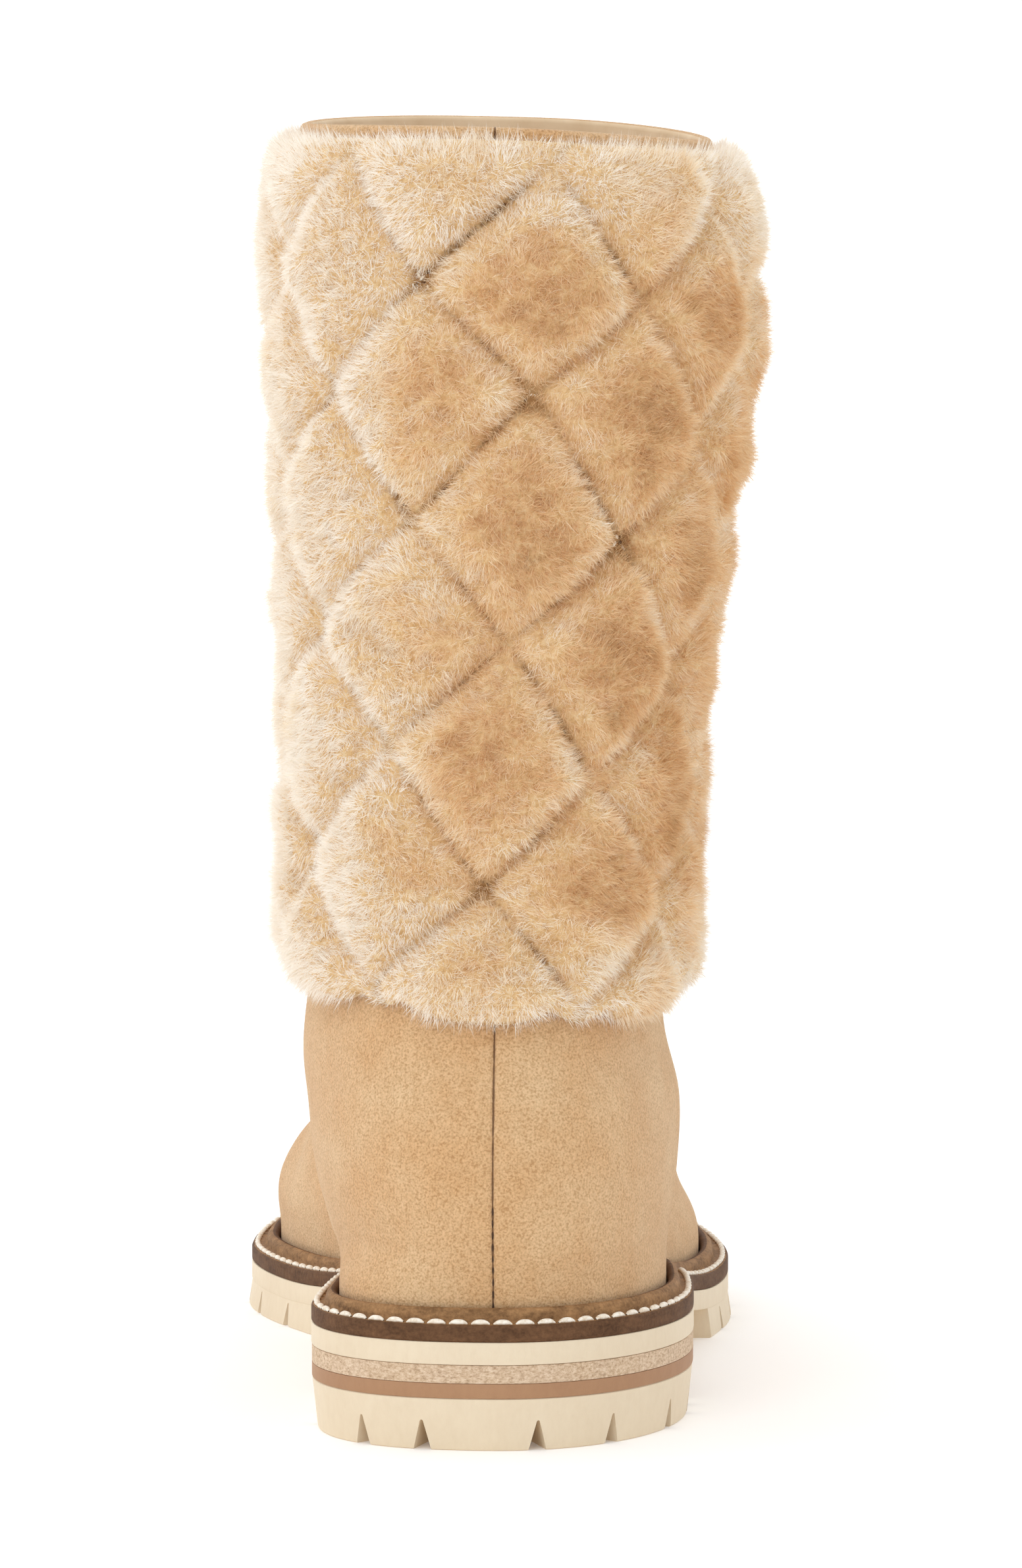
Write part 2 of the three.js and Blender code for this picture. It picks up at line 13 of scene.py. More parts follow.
import bmesh
import bpy
import numpy as np
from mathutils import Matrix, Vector


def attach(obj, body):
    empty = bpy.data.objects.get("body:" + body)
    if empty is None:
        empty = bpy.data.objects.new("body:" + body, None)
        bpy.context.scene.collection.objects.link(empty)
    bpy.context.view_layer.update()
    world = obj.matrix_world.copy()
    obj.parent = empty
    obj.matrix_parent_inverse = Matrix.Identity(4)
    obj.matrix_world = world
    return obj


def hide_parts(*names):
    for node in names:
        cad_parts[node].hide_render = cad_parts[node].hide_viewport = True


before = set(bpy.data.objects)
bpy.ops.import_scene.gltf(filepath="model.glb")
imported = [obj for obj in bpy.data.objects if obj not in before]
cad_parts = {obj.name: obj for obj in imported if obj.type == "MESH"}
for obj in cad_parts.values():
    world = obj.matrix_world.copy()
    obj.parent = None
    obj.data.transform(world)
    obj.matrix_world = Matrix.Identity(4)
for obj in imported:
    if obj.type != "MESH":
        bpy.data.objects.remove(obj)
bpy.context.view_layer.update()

# %% [markdown]
# ## The last's own sizes
#
# A shoemaker works from a last: the length, the outline of the sole, and sections at heights and at
# distances from the heel. The same short tables drive the construction model, so the fine shapes made here
# lie where its solids are. Sizes are millimetres: along runs from the back of the heel to the toe, across
# is positive on the lateral (outer) side, and z is the height above the floor.

# %% Sizes and tables
MM = 0.001
SOLE_LENGTH = 278
LATERAL, MEDIAL = 1, -1
# The sole's round back: how far forward it reaches on each side, and its power.
HEEL_REACH_LATERAL, HEEL_POWER_LATERAL = 50, 2
HEEL_REACH_MEDIAL, HEEL_POWER_MEDIAL = 36.5, 2.4
TOE_ROUND_FROM = 203
TOE_POWER = 2.2
HEEL_MIDDLE = 30  # from the heel's back to the frame's origin


def table(names, rows):
    """A table as a dictionary of columns. The first column is the one that it is read by."""
    return dict(zip(names.split(), np.array(rows, float).T))


SOLE_PLAN = table("along half swing", [
    (0, 36, 0), (36, 36, 0), (60, 35.6, -0.4), (90, 33.4, -0.8), (115, 32.9, -0.7), (135, 36.2, 1.6),
    (155, 43.2, 5), (175, 49.3, 8.3), (195, 52.4, 11.2), (215, 52.8, 13.1), (240, 52.9, 15.2),
    (278, 53.1, 18),
])
RIDGE = table("along height", [
    (100, 150), (112, 122), (120, 104), (128, 92), (136, 83), (146, 74.5), (160, 66.4), (175, 60.6),
    (190, 56.4), (205, 53.2), (220, 50.8), (235, 49), (252, 47.2), (272, 45.4),
])
SHAFT = table("level back front lateral medial", [
    (14, 6.2, 100, 31, 31), (30, 4.6, 112, 30.8, 32.4), (46, 3.6, 121, 32.8, 37),
    (60, 5.4, 127, 33.2, 39.4), (72, 8.8, 130, 30.2, 40.2), (92, 12.4, 129, 28.4, 38),
    (115, 13.4, 126, 28.2, 36.8), (145, 13, 125, 30.4, 37), (165, 12.6, 125.5, 33.2, 37.2),
    (185, 12.2, 126, 36.8, 38.2), (205, 12, 127, 39.4, 39.6), (225, 11.8, 127.5, 40, 40),
    (260, 11.8, 128, 38.4, 41.2),
])
print("rows in the tables:", [len(next(iter(rows.values()))) for rows in (SOLE_PLAN, RIDGE, SHAFT)])

# %% [markdown]
# Sizes that don't change along the boot are single numbers. The powers say how square an oval is: 2 is an
# ellipse, and more is boxier.

# %% Single sizes
FOREFOOT_TOP, HEEL_TOP = 9.9, 20.1
RAMP_FROM, RAMP_TO = 66, 166
RUNNER_THICK = 4.2
HEEL_BREAST, BREAST_HOLLOW = 64, 3
TREAD_START_LATERAL, TREAD_START_MEDIAL = 155, 143
TOE_SPRING_FROM, TOE_SPRING_RISE = 206, 7
WELT_THICK = 3.2
WELT_WIDTH_HEEL, WELT_WIDTH_FOREFOOT = 5.2, 6.4
UPPER_WALL = 2.4
TOE_BOX_FROM, TOE_BOX_POWER = 232, 3
VAMP_CREST, CREST_LEAN = 2.8, 3.6
SHAFT_POWER = 2.25
RIM_BACK, RIM_FRONT, RIM_BOW, RIM_MEDIAL_RISE = 243.2, 255.8, 1.4, 1.8
FEATHER_RISE, FEATHER_BLEND = 6.6, 13
print("sole:", SOLE_LENGTH, "mm long, collar:", RIM_BACK, "to", RIM_FRONT, "mm above the floor")

# %% [markdown]
# Between a table's rows every size follows a smooth cubic, as a batten bent over the sections would.

# %% Helpers for reading the tables


def ease(value, start, end):
    share = np.clip((value - start) / (end - start), 0, 1)
    return share * share * (3 - 2 * share)


def mix(a, b, share):
    return a + (b - a) * share


def row_at(columns, place):
    """Every column of a table at places between its rows."""
    key = next(iter(columns))
    x = columns[key]
    p = np.clip(np.asarray(place, float), x[0], x[-1])
    i = np.searchsorted(x[1:-1], p, side="left")
    span = x[i + 1] - x[i]
    t = (p - x[i]) / span
    before, after = np.maximum(np.arange(len(x)) - 1, 0), np.minimum(np.arange(len(x)) + 1, len(x) - 1)
    row = {}
    for name, y in columns.items():
        slope = (y[after] - y[before]) / (x[after] - x[before])
        row[name] = (
            y[i] * (1 + 2 * t) * (1 - t) ** 2
            + y[i + 1] * t * t * (3 - 2 * t)
            + slope[i] * span * t * (1 - t) ** 2
            - slope[i + 1] * span * t * t * (1 - t)
        )
    return row


print("the sole's half-width 100 mm from the heel:", row_at(SOLE_PLAN, 100)["half"].round(1), "mm")

# %% [markdown]
# Round outlines come from one family of curves, the superellipses, and one function turns the last's
# millimetres into points in the frame.

# %% Ovals and points


def oval(from_middle, power):
    """Half of a rounded oval's width, from 1 in its middle to 0 at its end."""
    return np.maximum(0, 1 - np.abs(from_middle) ** power) ** (1 / power)


def forward(share):
    """Steps that are closer together at both ends, where an outline is round."""
    return (1 - np.cos(np.pi * share)) / 2


def to_frame(along, across, z):
    """From the last's millimetres to points in the frame, in metres."""
    parts = np.broadcast_arrays(-np.asarray(across), HEEL_MIDDLE - np.asarray(along), np.asarray(z))
    return np.stack(parts, -1) * MM


print("the toe's tip in the frame:", to_frame(SOLE_LENGTH, 0, 0).round(3))

# %% [markdown]
# ## The sole's outline and the boot's skin
#
# The sole's outline is a round heel, a waist that swings, and an oval toe. The boot's skin is a stack of
# rings. Low rings are the foot: heel and ankle behind, vamp ahead. Above the ankle they turn into the
# shaft's ovals.

# %% The sole's outline


def ring_places(shares):
    """A ring's corners: out along the lateral side from heel to toe, and back on the medial side."""
    share = np.concatenate([shares, shares[-2:0:-1]])
    side = np.concatenate([np.ones(len(shares)), -np.ones(len(shares) - 2)])
    return share, side


def even_shares(count):
    return np.linspace(0, 1, count // 2 + 1)


def sole_point(along, side):
    plan = row_at(SOLE_PLAN, along)
    reach = np.where(side > 0, HEEL_REACH_LATERAL, HEEL_REACH_MEDIAL)
    power = np.where(side > 0, HEEL_POWER_LATERAL, HEEL_POWER_MEDIAL)
    heel = oval(np.clip((reach - along) / reach, 0, 1), power)
    toe = oval(np.clip((along - TOE_ROUND_FROM) / (SOLE_LENGTH - TOE_ROUND_FROM), 0, 1), TOE_POWER)
    return side * plan["half"] * heel * toe - plan["swing"]


def inset_loop(inset, share, side):
    """The sole's outline, moved in from its edge by inset, a number or a function of along."""
    along = SOLE_LENGTH * forward(share)
    across = sole_point(along, side)
    step_along = np.roll(along, -1) - np.roll(along, 1)
    step_across = np.roll(across, -1) - np.roll(across, 1)
    run = np.hypot(step_along, step_across)
    depth = inset(along) if callable(inset) else inset
    return along + depth * step_across / run, across - depth * step_along / run


def sole_loop(inset, shares):
    return inset_loop(inset, *ring_places(shares))


BALL_ALONG = 195
print("sole at the ball in mm:", [sole_point(BALL_ALONG, edge).round(1) for edge in (MEDIAL, LATERAL)])

# %% [markdown]
# Seen from the side, the sole's top runs level under the heel, ramps down through the waist, runs level
# again under the forefoot and springs up at the toe, so that the boot rolls as its wearer walks.

# %% The sole's heights
WELT_GAP = 0.1


def toe_spring(along):
    return TOE_SPRING_RISE * np.clip((along - TOE_SPRING_FROM) / (SOLE_LENGTH - TOE_SPRING_FROM), 0, 1) ** 2


def sole_top(along):
    return mix(HEEL_TOP, FOREFOOT_TOP, ease(along, RAMP_FROM, RAMP_TO)) + toe_spring(along)


def welt_width(along):
    return mix(WELT_WIDTH_HEEL, WELT_WIDTH_FOREFOOT, ease(along, 40, 170))


def feather_inset(along):
    return welt_width(along) + WELT_GAP


some_places = np.array([0, BALL_ALONG, SOLE_LENGTH])
print("the sole's top at the heel, ball and toe in mm:", sole_top(some_places).round(1))

# %% [markdown]
# The skin could be sculpted by eye. Worked out ring by ring, it can be asked for at any place and level, so
# the upper, the cuff and every hair on it read the same surface.

# %% The vamp's ridge and the rings' levels
TOE_END = SOLE_LENGTH - feather_inset(SOLE_LENGTH)


def ridge(along):
    """The height of the vamp's ridge, with the toe box rounded over."""
    height = row_at(RIDGE, along)["height"]
    base = sole_top(along)
    past = np.clip((along - TOE_BOX_FROM) / (TOE_END - TOE_BOX_FROM), 0, 1)
    return base + (height - base) * oval(past, TOE_BOX_POWER)


def level_at(level, along):
    """Lower rings follow the sole's own rise, and higher rings are level."""
    return level + (sole_top(along) - FOREFOOT_TOP) * (1 - ease(level, FOREFOOT_TOP + FEATHER_RISE, 50))


def ring_front(level):
    """How far forward a ring reaches: where the ridge comes down to it."""
    near, far = np.full(np.shape(level), 100.0), np.full(np.shape(level), TOE_END)
    for _ in range(32):
        middle = (near + far) / 2
        under = ridge(middle) > level_at(level, middle)
        near, far = np.where(under, middle, near), np.where(under, far, middle)
    return (near + far) / 2


print("vamp's ridge over the ball:", ridge(BALL_ALONG).round(1), "mm above the floor")

# %% [markdown]
# A ring of the shaft is an oval between its back and its front. A ring of the foot is an ankle behind and a
# vamp ahead, whose sides arch up to the ridge. Between two levels above the ankle one blends into the
# other.

# %% The boot's skin


def shaft_point(share, side, level):
    row = row_at(SHAFT, level)
    along = mix(row["back"], row["front"], forward(share))
    half = np.where(side > 0, row["lateral"], row["medial"])
    return along, side * half * oval(2 * forward(share) - 1, SHAFT_POWER)


def foot_point(share, side, level):
    back = row_at(SHAFT, level_at(level, 0.0))["back"]
    along = mix(back, ring_front(level), forward(share))
    z = level_at(level, along)
    plan = row_at(SOLE_PLAN, along)
    toe = oval(np.clip((along - TOE_ROUND_FROM) / (TOE_END - TOE_ROUND_FROM), 0, 1), TOE_POWER)
    rise = np.clip((z - sole_top(along)) / np.maximum(1e-6, ridge(along) - sole_top(along)), 0, 1)
    vamp_half = (plan["half"] - feather_inset(along)) * toe * np.sqrt(1 - rise**VAMP_CREST)
    vamp = side * vamp_half - plan["swing"] - CREST_LEAN * np.sqrt(rise) * ease(along, 110, 150)
    row = row_at(SHAFT, z)
    half = np.where(side > 0, row["lateral"], row["medial"])
    middle = (row["front"] + row["back"]) / 2
    ankle = side * half * oval(np.clip((middle - along) / (middle - row["back"]), 0, 1), SHAFT_POWER)
    return along, mix(ankle, vamp, ease(along, 62, 132)), z


def skin_point(share, side, level):
    """The boot's outer skin at places round a ring and at a level: along, across and z."""
    foot = foot_point(share, side, level)
    shaft = shaft_point(share, side, level)
    up = ease(level, 72, 98)
    return mix(foot[0], shaft[0], up), mix(foot[1], shaft[1], up), mix(foot[2], level, up)


def rim_height(share, side):
    """The collar's height, which is lowest at the back and a little higher on the medial side."""
    rise = mix(RIM_BACK, RIM_FRONT, forward(share) ** RIM_BOW)
    return rise - side * RIM_MEDIAL_RISE * np.sin(np.pi * share)


back_along = float(skin_point(0.0, LATERAL, 100.0)[0])
print("the skin's back at a level of 100 mm lies", round(back_along, 1), "mm along")

# %% [markdown]
# ## Helpers for making meshes
#
# Most pieces here are rings of points joined by quads. The first helper makes an object from arrays of
# points and faces, which stays quick even for hundreds of thousands of hairs. The others list the quads
# between rings, and those that close a ring's end.

# %% Objects and faces from arrays


def new_object(name, verts, faces, smooth=True):
    mesh = bpy.data.meshes.new(name)
    verts, faces = np.asarray(verts, np.float32), np.asarray(faces, np.int32)
    corners = faces.shape[1]
    mesh.vertices.add(len(verts))
    mesh.vertices.foreach_set("co", verts.ravel())
    mesh.loops.add(faces.size)
    mesh.loops.foreach_set("vertex_index", faces.ravel())
    mesh.polygons.add(len(faces))
    mesh.polygons.foreach_set("loop_start", np.arange(len(faces), dtype=np.int32) * corners)
    mesh.polygons.foreach_set("use_smooth", np.full(len(faces), smooth))
    mesh.update(calc_edges=True)
    piece = bpy.data.objects.new(name, mesh)
    bpy.context.scene.collection.objects.link(piece)
    return piece


def grid_faces(rows, columns, close_rows=False):
    """Quads between rings of points: ring k joins ring k + 1, and each ring closes on itself."""
    k = np.arange(rows if close_rows else rows - 1)[:, None]
    i = np.arange(columns)[None, :]
    a, b = k * columns + i, k * columns + (i + 1) % columns
    up = (k + 1) % rows * columns
    return np.stack([a, b, up + (i + 1) % columns, up + i], -1).reshape(-1, 4)


def cap_faces(offset, count, facing_up):
    """Quads across a ring, from its lateral side to its medial side."""
    i = np.arange(count // 2)
    a, b, c, d = i, i + 1, (count - i - 1) % count, (count - i) % count
    return np.stack([a, b, c, d] if facing_up else [a, d, c, b], -1) + offset


print("quads between three rings of ten points:", len(grid_faces(3, 10)))

# %% [markdown]
# A solid is a stack of rings with both ends closed. It can be cut with another solid by a boolean, which is
# how a groove or a heel's breast gets its clean edges. An edge that turns sharply is shaded sharp, and the
# rest smooth.

# %% Solids


def merge_close(piece, distance=1e-6):
    """Joins doubled corners and drops the faces that fall flat."""
    bm = bmesh.new()
    bm.from_mesh(piece.data)
    bmesh.ops.remove_doubles(bm, verts=bm.verts, dist=distance)
    bmesh.ops.dissolve_degenerate(bm, edges=bm.edges, dist=distance)
    bmesh.ops.recalc_face_normals(bm, faces=bm.faces)
    bm.to_mesh(piece.data)
    bm.free()
    return piece


def crisp(piece, degrees=35):
    """Smooth shading, with an edge kept sharp where its faces turn by more than an angle."""
    piece.data.shade_smooth()
    piece.data.set_sharp_from_angle(angle=math.radians(degrees))
    return piece


def stack(name, rings):
    """A closed solid from rings of points, capped across its first and last ring."""
    rings = np.asarray(rings)
    rows, columns = rings.shape[:2]
    faces = np.concatenate([
        grid_faces(rows, columns),
        cap_faces(0, columns, False),
        cap_faces((rows - 1) * columns, columns, True),
    ])
    return merge_close(new_object(name, rings.reshape(-1, 3), faces))


def cut(piece, tool, operation="DIFFERENCE"):
    """Cuts the piece with a tool, or keeps what both share, and takes the tool away."""
    modifier = piece.modifiers.new("cut", "BOOLEAN")
    modifier.operation, modifier.object, modifier.solver = operation, tool, "EXACT"
    depsgraph = bpy.context.evaluated_depsgraph_get()
    made = bpy.data.meshes.new_from_object(piece.evaluated_get(depsgraph))
    piece.modifiers.clear()
    piece.data = made
    bpy.data.objects.remove(tool)
    return piece


print("helpers for solids:", [helper.__name__ for helper in (merge_close, crisp, stack, cut)])

# %% [markdown]
# A finished piece takes its material, rides on the boot's one body, and hides the construction solids that
# it stands for.

# %% Fitting a piece out


def fit_out(piece, material, slot, *nodes):
    """Gives a piece its material and place, and hides the solids that it stands for. The slot is not used.
    """
    if material is not None:
        piece.data.materials.clear()
        piece.data.materials.append(material)
    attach(piece, "root")
    if nodes:
        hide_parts(*nodes)
    print(f"{piece.name}: {len(piece.data.vertices)} corners, {len(piece.data.polygons)} faces")
    return piece


# %% [markdown]
# ## Camera
#
# The boot is looked at from straight behind, from a little above the middle of its height, with a long
# lens. The toe points a few degrees away from the line of sight. Depth of field stays off, so every stitch
# is sharp.

# %% Camera
CAMERA_BEHIND_HEEL = 945
CAMERA_HEIGHT = 154
CAMERA_ASIDE = 3.6
CAMERA_YAW = math.radians(3.0)
CAMERA_PITCH = math.radians(1.913)
LENS_LENGTH, SENSOR_WIDTH = 119.05, 36

line = np.array([math.cos(CAMERA_YAW), -math.sin(CAMERA_YAW)])
right = np.array([math.sin(CAMERA_YAW), math.cos(CAMERA_YAW)])
stand = -CAMERA_BEHIND_HEEL * line + CAMERA_ASIDE * right
camera_data = bpy.data.cameras.new("camera")
camera_data.sensor_width = SENSOR_WIDTH
camera_data.lens = LENS_LENGTH
camera = bpy.data.objects.new("camera", camera_data)
bpy.context.scene.collection.objects.link(camera)
camera.location = Vector(to_frame(*stand, CAMERA_HEIGHT))
look = Vector((-line[1], -line[0], -math.tan(CAMERA_PITCH)))
camera.rotation_euler = look.to_track_quat("-Z", "Y").to_euler()
bpy.context.scene.camera = camera
bpy.context.scene.view_settings.view_transform = "Standard"
bpy.context.scene.cycles.diffuse_bounces = 12
print("camera at", [round(v, 3) for v in camera.location])

# %% [markdown]
# ## Floor and light
#
# A plain white floor under a bright sky gives the soft studio look. The sky is brightest behind the boot, a
# little brighter on the medial side, and dimmer out to both sides. One soft box stands behind the camera
# and above it, and a small one beyond the boot on the lateral side lights up the pile's edge.

# %% Floor and light


def plain_material(name, colour, roughness=0.8):
    material = bpy.data.materials.new(name)
    material.use_nodes = True
    shader = material.node_tree.nodes["Principled BSDF"]
    shader.inputs["Base Color"].default_value = (*colour, 1)
    shader.inputs["Roughness"].default_value = roughness
    return material


FLOOR_HALF, FLOOR_GLOW = 6.0, 0.09
corners = [(x * FLOOR_HALF, y * FLOOR_HALF, 0) for x, y in ((-1, -1), (1, -1), (1, 1), (-1, 1))]
floor = new_object("floor", corners, [(0, 1, 2, 3)])
white = plain_material("white_floor", (0.98, 0.98, 0.98))
glow = white.node_tree.nodes["Principled BSDF"].inputs
glow["Emission Color"].default_value = (1, 1, 1, 1)
glow["Emission Strength"].default_value = FLOOR_GLOW
floor.data.materials.append(white)
print("floor:", 2 * FLOOR_HALF, "m across")

# %% [markdown]
# The sky is worked out from the direction that is looked in. Its Y part tells the background from the side
# behind the camera, and its X part, squared and leaning a little, dims both sides.

# %% Sky
LIGHT_FROM_BEHIND_CAMERA, LIGHT_FROM_BACKGROUND = 0.84, 1.3
LIGHT_LEAN, SIDES_DIMMED = 0.18, 0.16
world = bpy.data.worlds.new("studio")
world.use_nodes = True
sky = world.node_tree


def sky_node(kind, values, **settings):
    """A node of the sky. Each value is a number, or an output that is linked in."""
    made = sky.nodes.new(kind)
    for key, value in settings.items():
        setattr(made, key, value)
    for socket, value in values.items():
        if isinstance(value, (int, float)):
            made.inputs[socket].default_value = value
        else:
            sky.links.new(value, made.inputs[socket])
    return made.outputs


direction = sky_node("ShaderNodeTexCoord", {})["Generated"]
parts = sky_node("ShaderNodeSeparateXYZ", {"Vector": direction})
strength = sky_node("ShaderNodeMapRange", {
    "Value": parts["Y"],
    "From Min": 0.7,
    "From Max": -0.5,
    "To Min": LIGHT_FROM_BEHIND_CAMERA,
    "To Max": LIGHT_FROM_BACKGROUND,
}, interpolation_type="SMOOTHSTEP")["Result"]
x = parts["X"]
slant = sky_node("ShaderNodeMath", {0: x, 1: -SIDES_DIMMED, 2: LIGHT_LEAN}, operation="MULTIPLY_ADD")[0]
sideways = sky_node("ShaderNodeMath", {0: x, 1: slant, 2: 1.0}, operation="MULTIPLY_ADD")[0]
total = sky_node("ShaderNodeMath", {0: strength, 1: sideways}, operation="MULTIPLY")[0]
sky.links.new(total, sky.nodes["Background"].inputs["Strength"])
sky.nodes["Background"].inputs["Color"].default_value = (1, 1, 1, 1)
bpy.context.scene.world = world
print("sky strength:", LIGHT_FROM_BEHIND_CAMERA, "behind the camera,", LIGHT_FROM_BACKGROUND, "ahead of it")

# %% [markdown]
# A soft box is a square area light, a metre or so across, turned to face the boot.

# %% Soft boxes


def soft_box(name, place, aim, size, power):
    light = bpy.data.lights.new(name, "AREA")
    light.shape = "SQUARE"
    light.size = size
    light.energy = power
    box = bpy.data.objects.new(name, light)
    bpy.context.scene.collection.objects.link(box)
    box.location = place
    box.rotation_euler = (Vector(aim) - Vector(place)).to_track_quat("-Z", "Y").to_euler()
    print(f"{name}: {size} m across, {power} W")


soft_box("right_box", (-1.5, -0.25, 0.7), (0, 0, 0.13), 1.0, 1.2)
soft_box("front_box", (0.6, 1.7, 1.5), (0, 0, 0.1), 1.2, 9.5)

# %% [markdown]
# ## Materials
#
# Each finish is a small node tree: a mix of noises in the object's own metres drives the colour, and finer
# noise drives the bump. Colours are linear. The helper takes a list of colour stops so that each material
# can be read as a recipe.

# %% A helper for patterned materials


class Recipe:
    """A Principled material that is built step by step."""

    def __init__(self, name, roughness, sheen=0.0, sheen_tint=(1, 1, 1), specular=0.3):
        self.material = bpy.data.materials.new(name)
        self.material.use_nodes = True
        self.tree = self.material.node_tree
        self.shader = self.tree.nodes["Principled BSDF"]
        self.shader.inputs["Roughness"].default_value = roughness
        self.shader.inputs["Sheen Weight"].default_value = sheen
        self.shader.inputs["Sheen Tint"].default_value = (*sheen_tint, 1)
        self.shader.inputs["Sheen Roughness"].default_value = 0.5
        self.shader.inputs["Specular IOR Level"].default_value = specular
        self.place = self.node("ShaderNodeTexCoord").outputs["Object"]

    def node(self, kind, **settings):
        made = self.tree.nodes.new(kind)
        for key, value in settings.items():
            setattr(made, key, value)
        return made

    def link(self, source, target):
        self.tree.links.new(source, target)

    def stretched(self, x=1.0, y=1.0, z=1.0):
        mapping = self.node("ShaderNodeMapping")
        mapping.inputs["Scale"].default_value = (x, y, z)
        self.link(self.place, mapping.inputs["Vector"])
        return mapping.outputs["Vector"]

    def noise(self, size, detail=3.0, roughness=0.55, where=None):
        """Noise whose blotches are about size metres across."""
        made = self.node("ShaderNodeTexNoise")
        made.inputs["Scale"].default_value = 1 / size
        made.inputs["Detail"].default_value = detail
        made.inputs["Roughness"].default_value = roughness
        self.link(where or self.place, made.inputs["Vector"])
        return made.outputs["Fac"]

    def feed(self, value, socket):
        """Sets a socket to a number or a colour, or links an output to it."""
        if isinstance(value, (int, float)):
            socket.default_value = value
        elif isinstance(value, tuple):
            socket.default_value = (*value, 1)
        else:
            self.link(value, socket)

    def math(self, operation, *values):
        made = self.node("ShaderNodeMath", operation=operation)
        for value, socket in zip(values, made.inputs):
            self.feed(value, socket)
        return made.outputs[0]

    def ramp(self, value, stops):
        """Colours at places along a value: [(place, (r, g, b)), ...]."""
        made = self.node("ShaderNodeValToRGB")
        while len(made.color_ramp.elements) < len(stops):
            made.color_ramp.elements.new(0.5)
        for element, (at, colour) in zip(made.color_ramp.elements, stops):
            element.position = at
            element.color = (*colour, 1)
        self.link(value, made.inputs["Fac"])
        return made.outputs["Color"]

    def blend(self, share, a, b, kind="MIX"):
        made = self.node("ShaderNodeMix", data_type="RGBA", blend_type=kind)
        for value, socket in ((share, 0), (a, 6), (b, 7)):
            self.feed(value, made.inputs[socket])
        return made.outputs[2]

    def colour(self, value):
        self.link(value, self.shader.inputs["Base Color"])

    def bump(self, height, depth):
        """Relief from a height that runs from 0 to 1, depth metres deep."""
        made = self.node("ShaderNodeBump")
        made.inputs["Distance"].default_value = depth
        self.link(height, made.inputs["Height"])
        self.link(made.outputs["Normal"], self.shader.inputs["Normal"])


print("a recipe's steps:", [step for step in vars(Recipe) if not step.startswith("_")])

# %% [markdown]
# **Suede** is the split side of the hide, sanded to a short nap. Fingers and brushing leave lighter and
# darker patches, and close up it has a fine grain. Its sheen makes the turned-away edges a little lighter.

# %% Suede
suede = Recipe("sand_suede", 0.95, sheen=0.3, sheen_tint=(1.0, 0.93, 0.82), specular=0.15)
patches = suede.noise(0.02, detail=6, roughness=0.62)
base = suede.ramp(patches, [(0.32, (0.63, 0.375, 0.18)), (0.68, (0.69, 0.47, 0.265))])
nap = suede.ramp(suede.noise(0.003, detail=5, roughness=0.7),
                 [(0.3, (0.96, 0.93, 0.89)), (0.5, (1, 1, 1)), (0.72, (1.04, 1.05, 1.06))])
speckle = suede.ramp(suede.noise(0.00042, detail=2, roughness=0.6),
                     [(0.34, (0.76, 0.68, 0.58)), (0.5, (1, 1, 1)), (0.66, (1.14, 1.16, 1.2))])
speckle = suede.blend(1.0, speckle, nap, "MULTIPLY")
napped = suede.blend(1.0, base, speckle, "MULTIPLY")
suede.bump(suede.noise(0.0009, detail=4, roughness=0.75), 0.0004)
print("suede:", len(suede.tree.nodes), "nodes")

# %% [markdown]
# Where the two halves of the counter meet, their raw edges show as a dark line up the middle of the heel.
# It could be a strip of its own, but a strip would float on the nap, so the line is drawn in the suede
# where X is 0.

# %% The dark line of the back seam
SEAM_HALF = 0.00018
sides = suede.node("ShaderNodeSeparateXYZ")
suede.link(suede.place, sides.inputs["Vector"])
from_middle = suede.math("ABSOLUTE", sides.outputs["X"])
ragged = suede.math("MULTIPLY", suede.noise(0.002, detail=2), SEAM_HALF * 2)
in_seam = suede.math("LESS_THAN", from_middle, ragged)
behind = suede.math("GREATER_THAN", sides.outputs["Y"], 0.0)
seam_share = suede.math("MULTIPLY", suede.math("MULTIPLY", in_seam, behind), 0.8)
suede.colour(suede.blend(seam_share, napped, (0.13, 0.06, 0.028)))
print("back seam:", 2 * SEAM_HALF / MM, "mm wide")

# %% [markdown]
# ** Welt leather** is waxed brown, darker on its trimmed edge, with worn lighter patches on the bead. The
# darker leather also paints the shadow on the bead's back, where it stands against the suede.

# %% Welt leather


def welt_leather(name, dark, light, roughness):
    leather = Recipe(name, roughness, specular=0.15)
    streaks = leather.noise(0.006, detail=6, roughness=0.72, where=leather.stretched(1, 1, 3))
    pores = leather.noise(0.0008, detail=3, roughness=0.75)
    leather.colour(leather.blend(0.4, leather.ramp(streaks, [(0.3, dark), (0.72, light)]),
                                 leather.ramp(pores, [(0.3, dark), (0.7, light)])))
    leather.bump(leather.noise(0.0012, detail=4, roughness=0.7), 0.00018)
    return leather.material


# The dark leather is the stained edge's colour and also the painted shadow on the bead's back.
welt_edge_and_painted_shade = welt_leather("welt_edge_and_painted_shade", (0.05, 0.022, 0.01), (0.2, 0.1, 0.048), 0.7)
welt_top = welt_leather("welt_top", (0.075, 0.032, 0.011), (0.5, 0.28, 0.125), 0.7)
print("welt leathers:", welt_edge_and_painted_shade.name, welt_top.name)

# %% [markdown]
# **Rubber** is cream and matt, with faint sanding marks and a little dust. The brown lift is the same
# rubber in another colour, so one function makes both.

# %% Rubber


def rubber(name, base_colour, shade_colour):
    made = Recipe(name, 0.62, specular=0.35)
    cloud = made.noise(0.02, detail=4)
    fine = made.noise(0.0016, detail=4, roughness=0.7, where=made.stretched(1, 1, 0.5))
    mixed = made.blend(0.4, made.ramp(cloud, [(0.3, shade_colour), (0.65, base_colour)]),
                       made.ramp(fine, [(0.3, shade_colour), (0.6, base_colour)]))
    made.colour(mixed)
    made.bump(made.noise(0.0022, detail=5, roughness=0.7, where=made.stretched(1, 1, 0.3)), 0.00012)
    return made.material


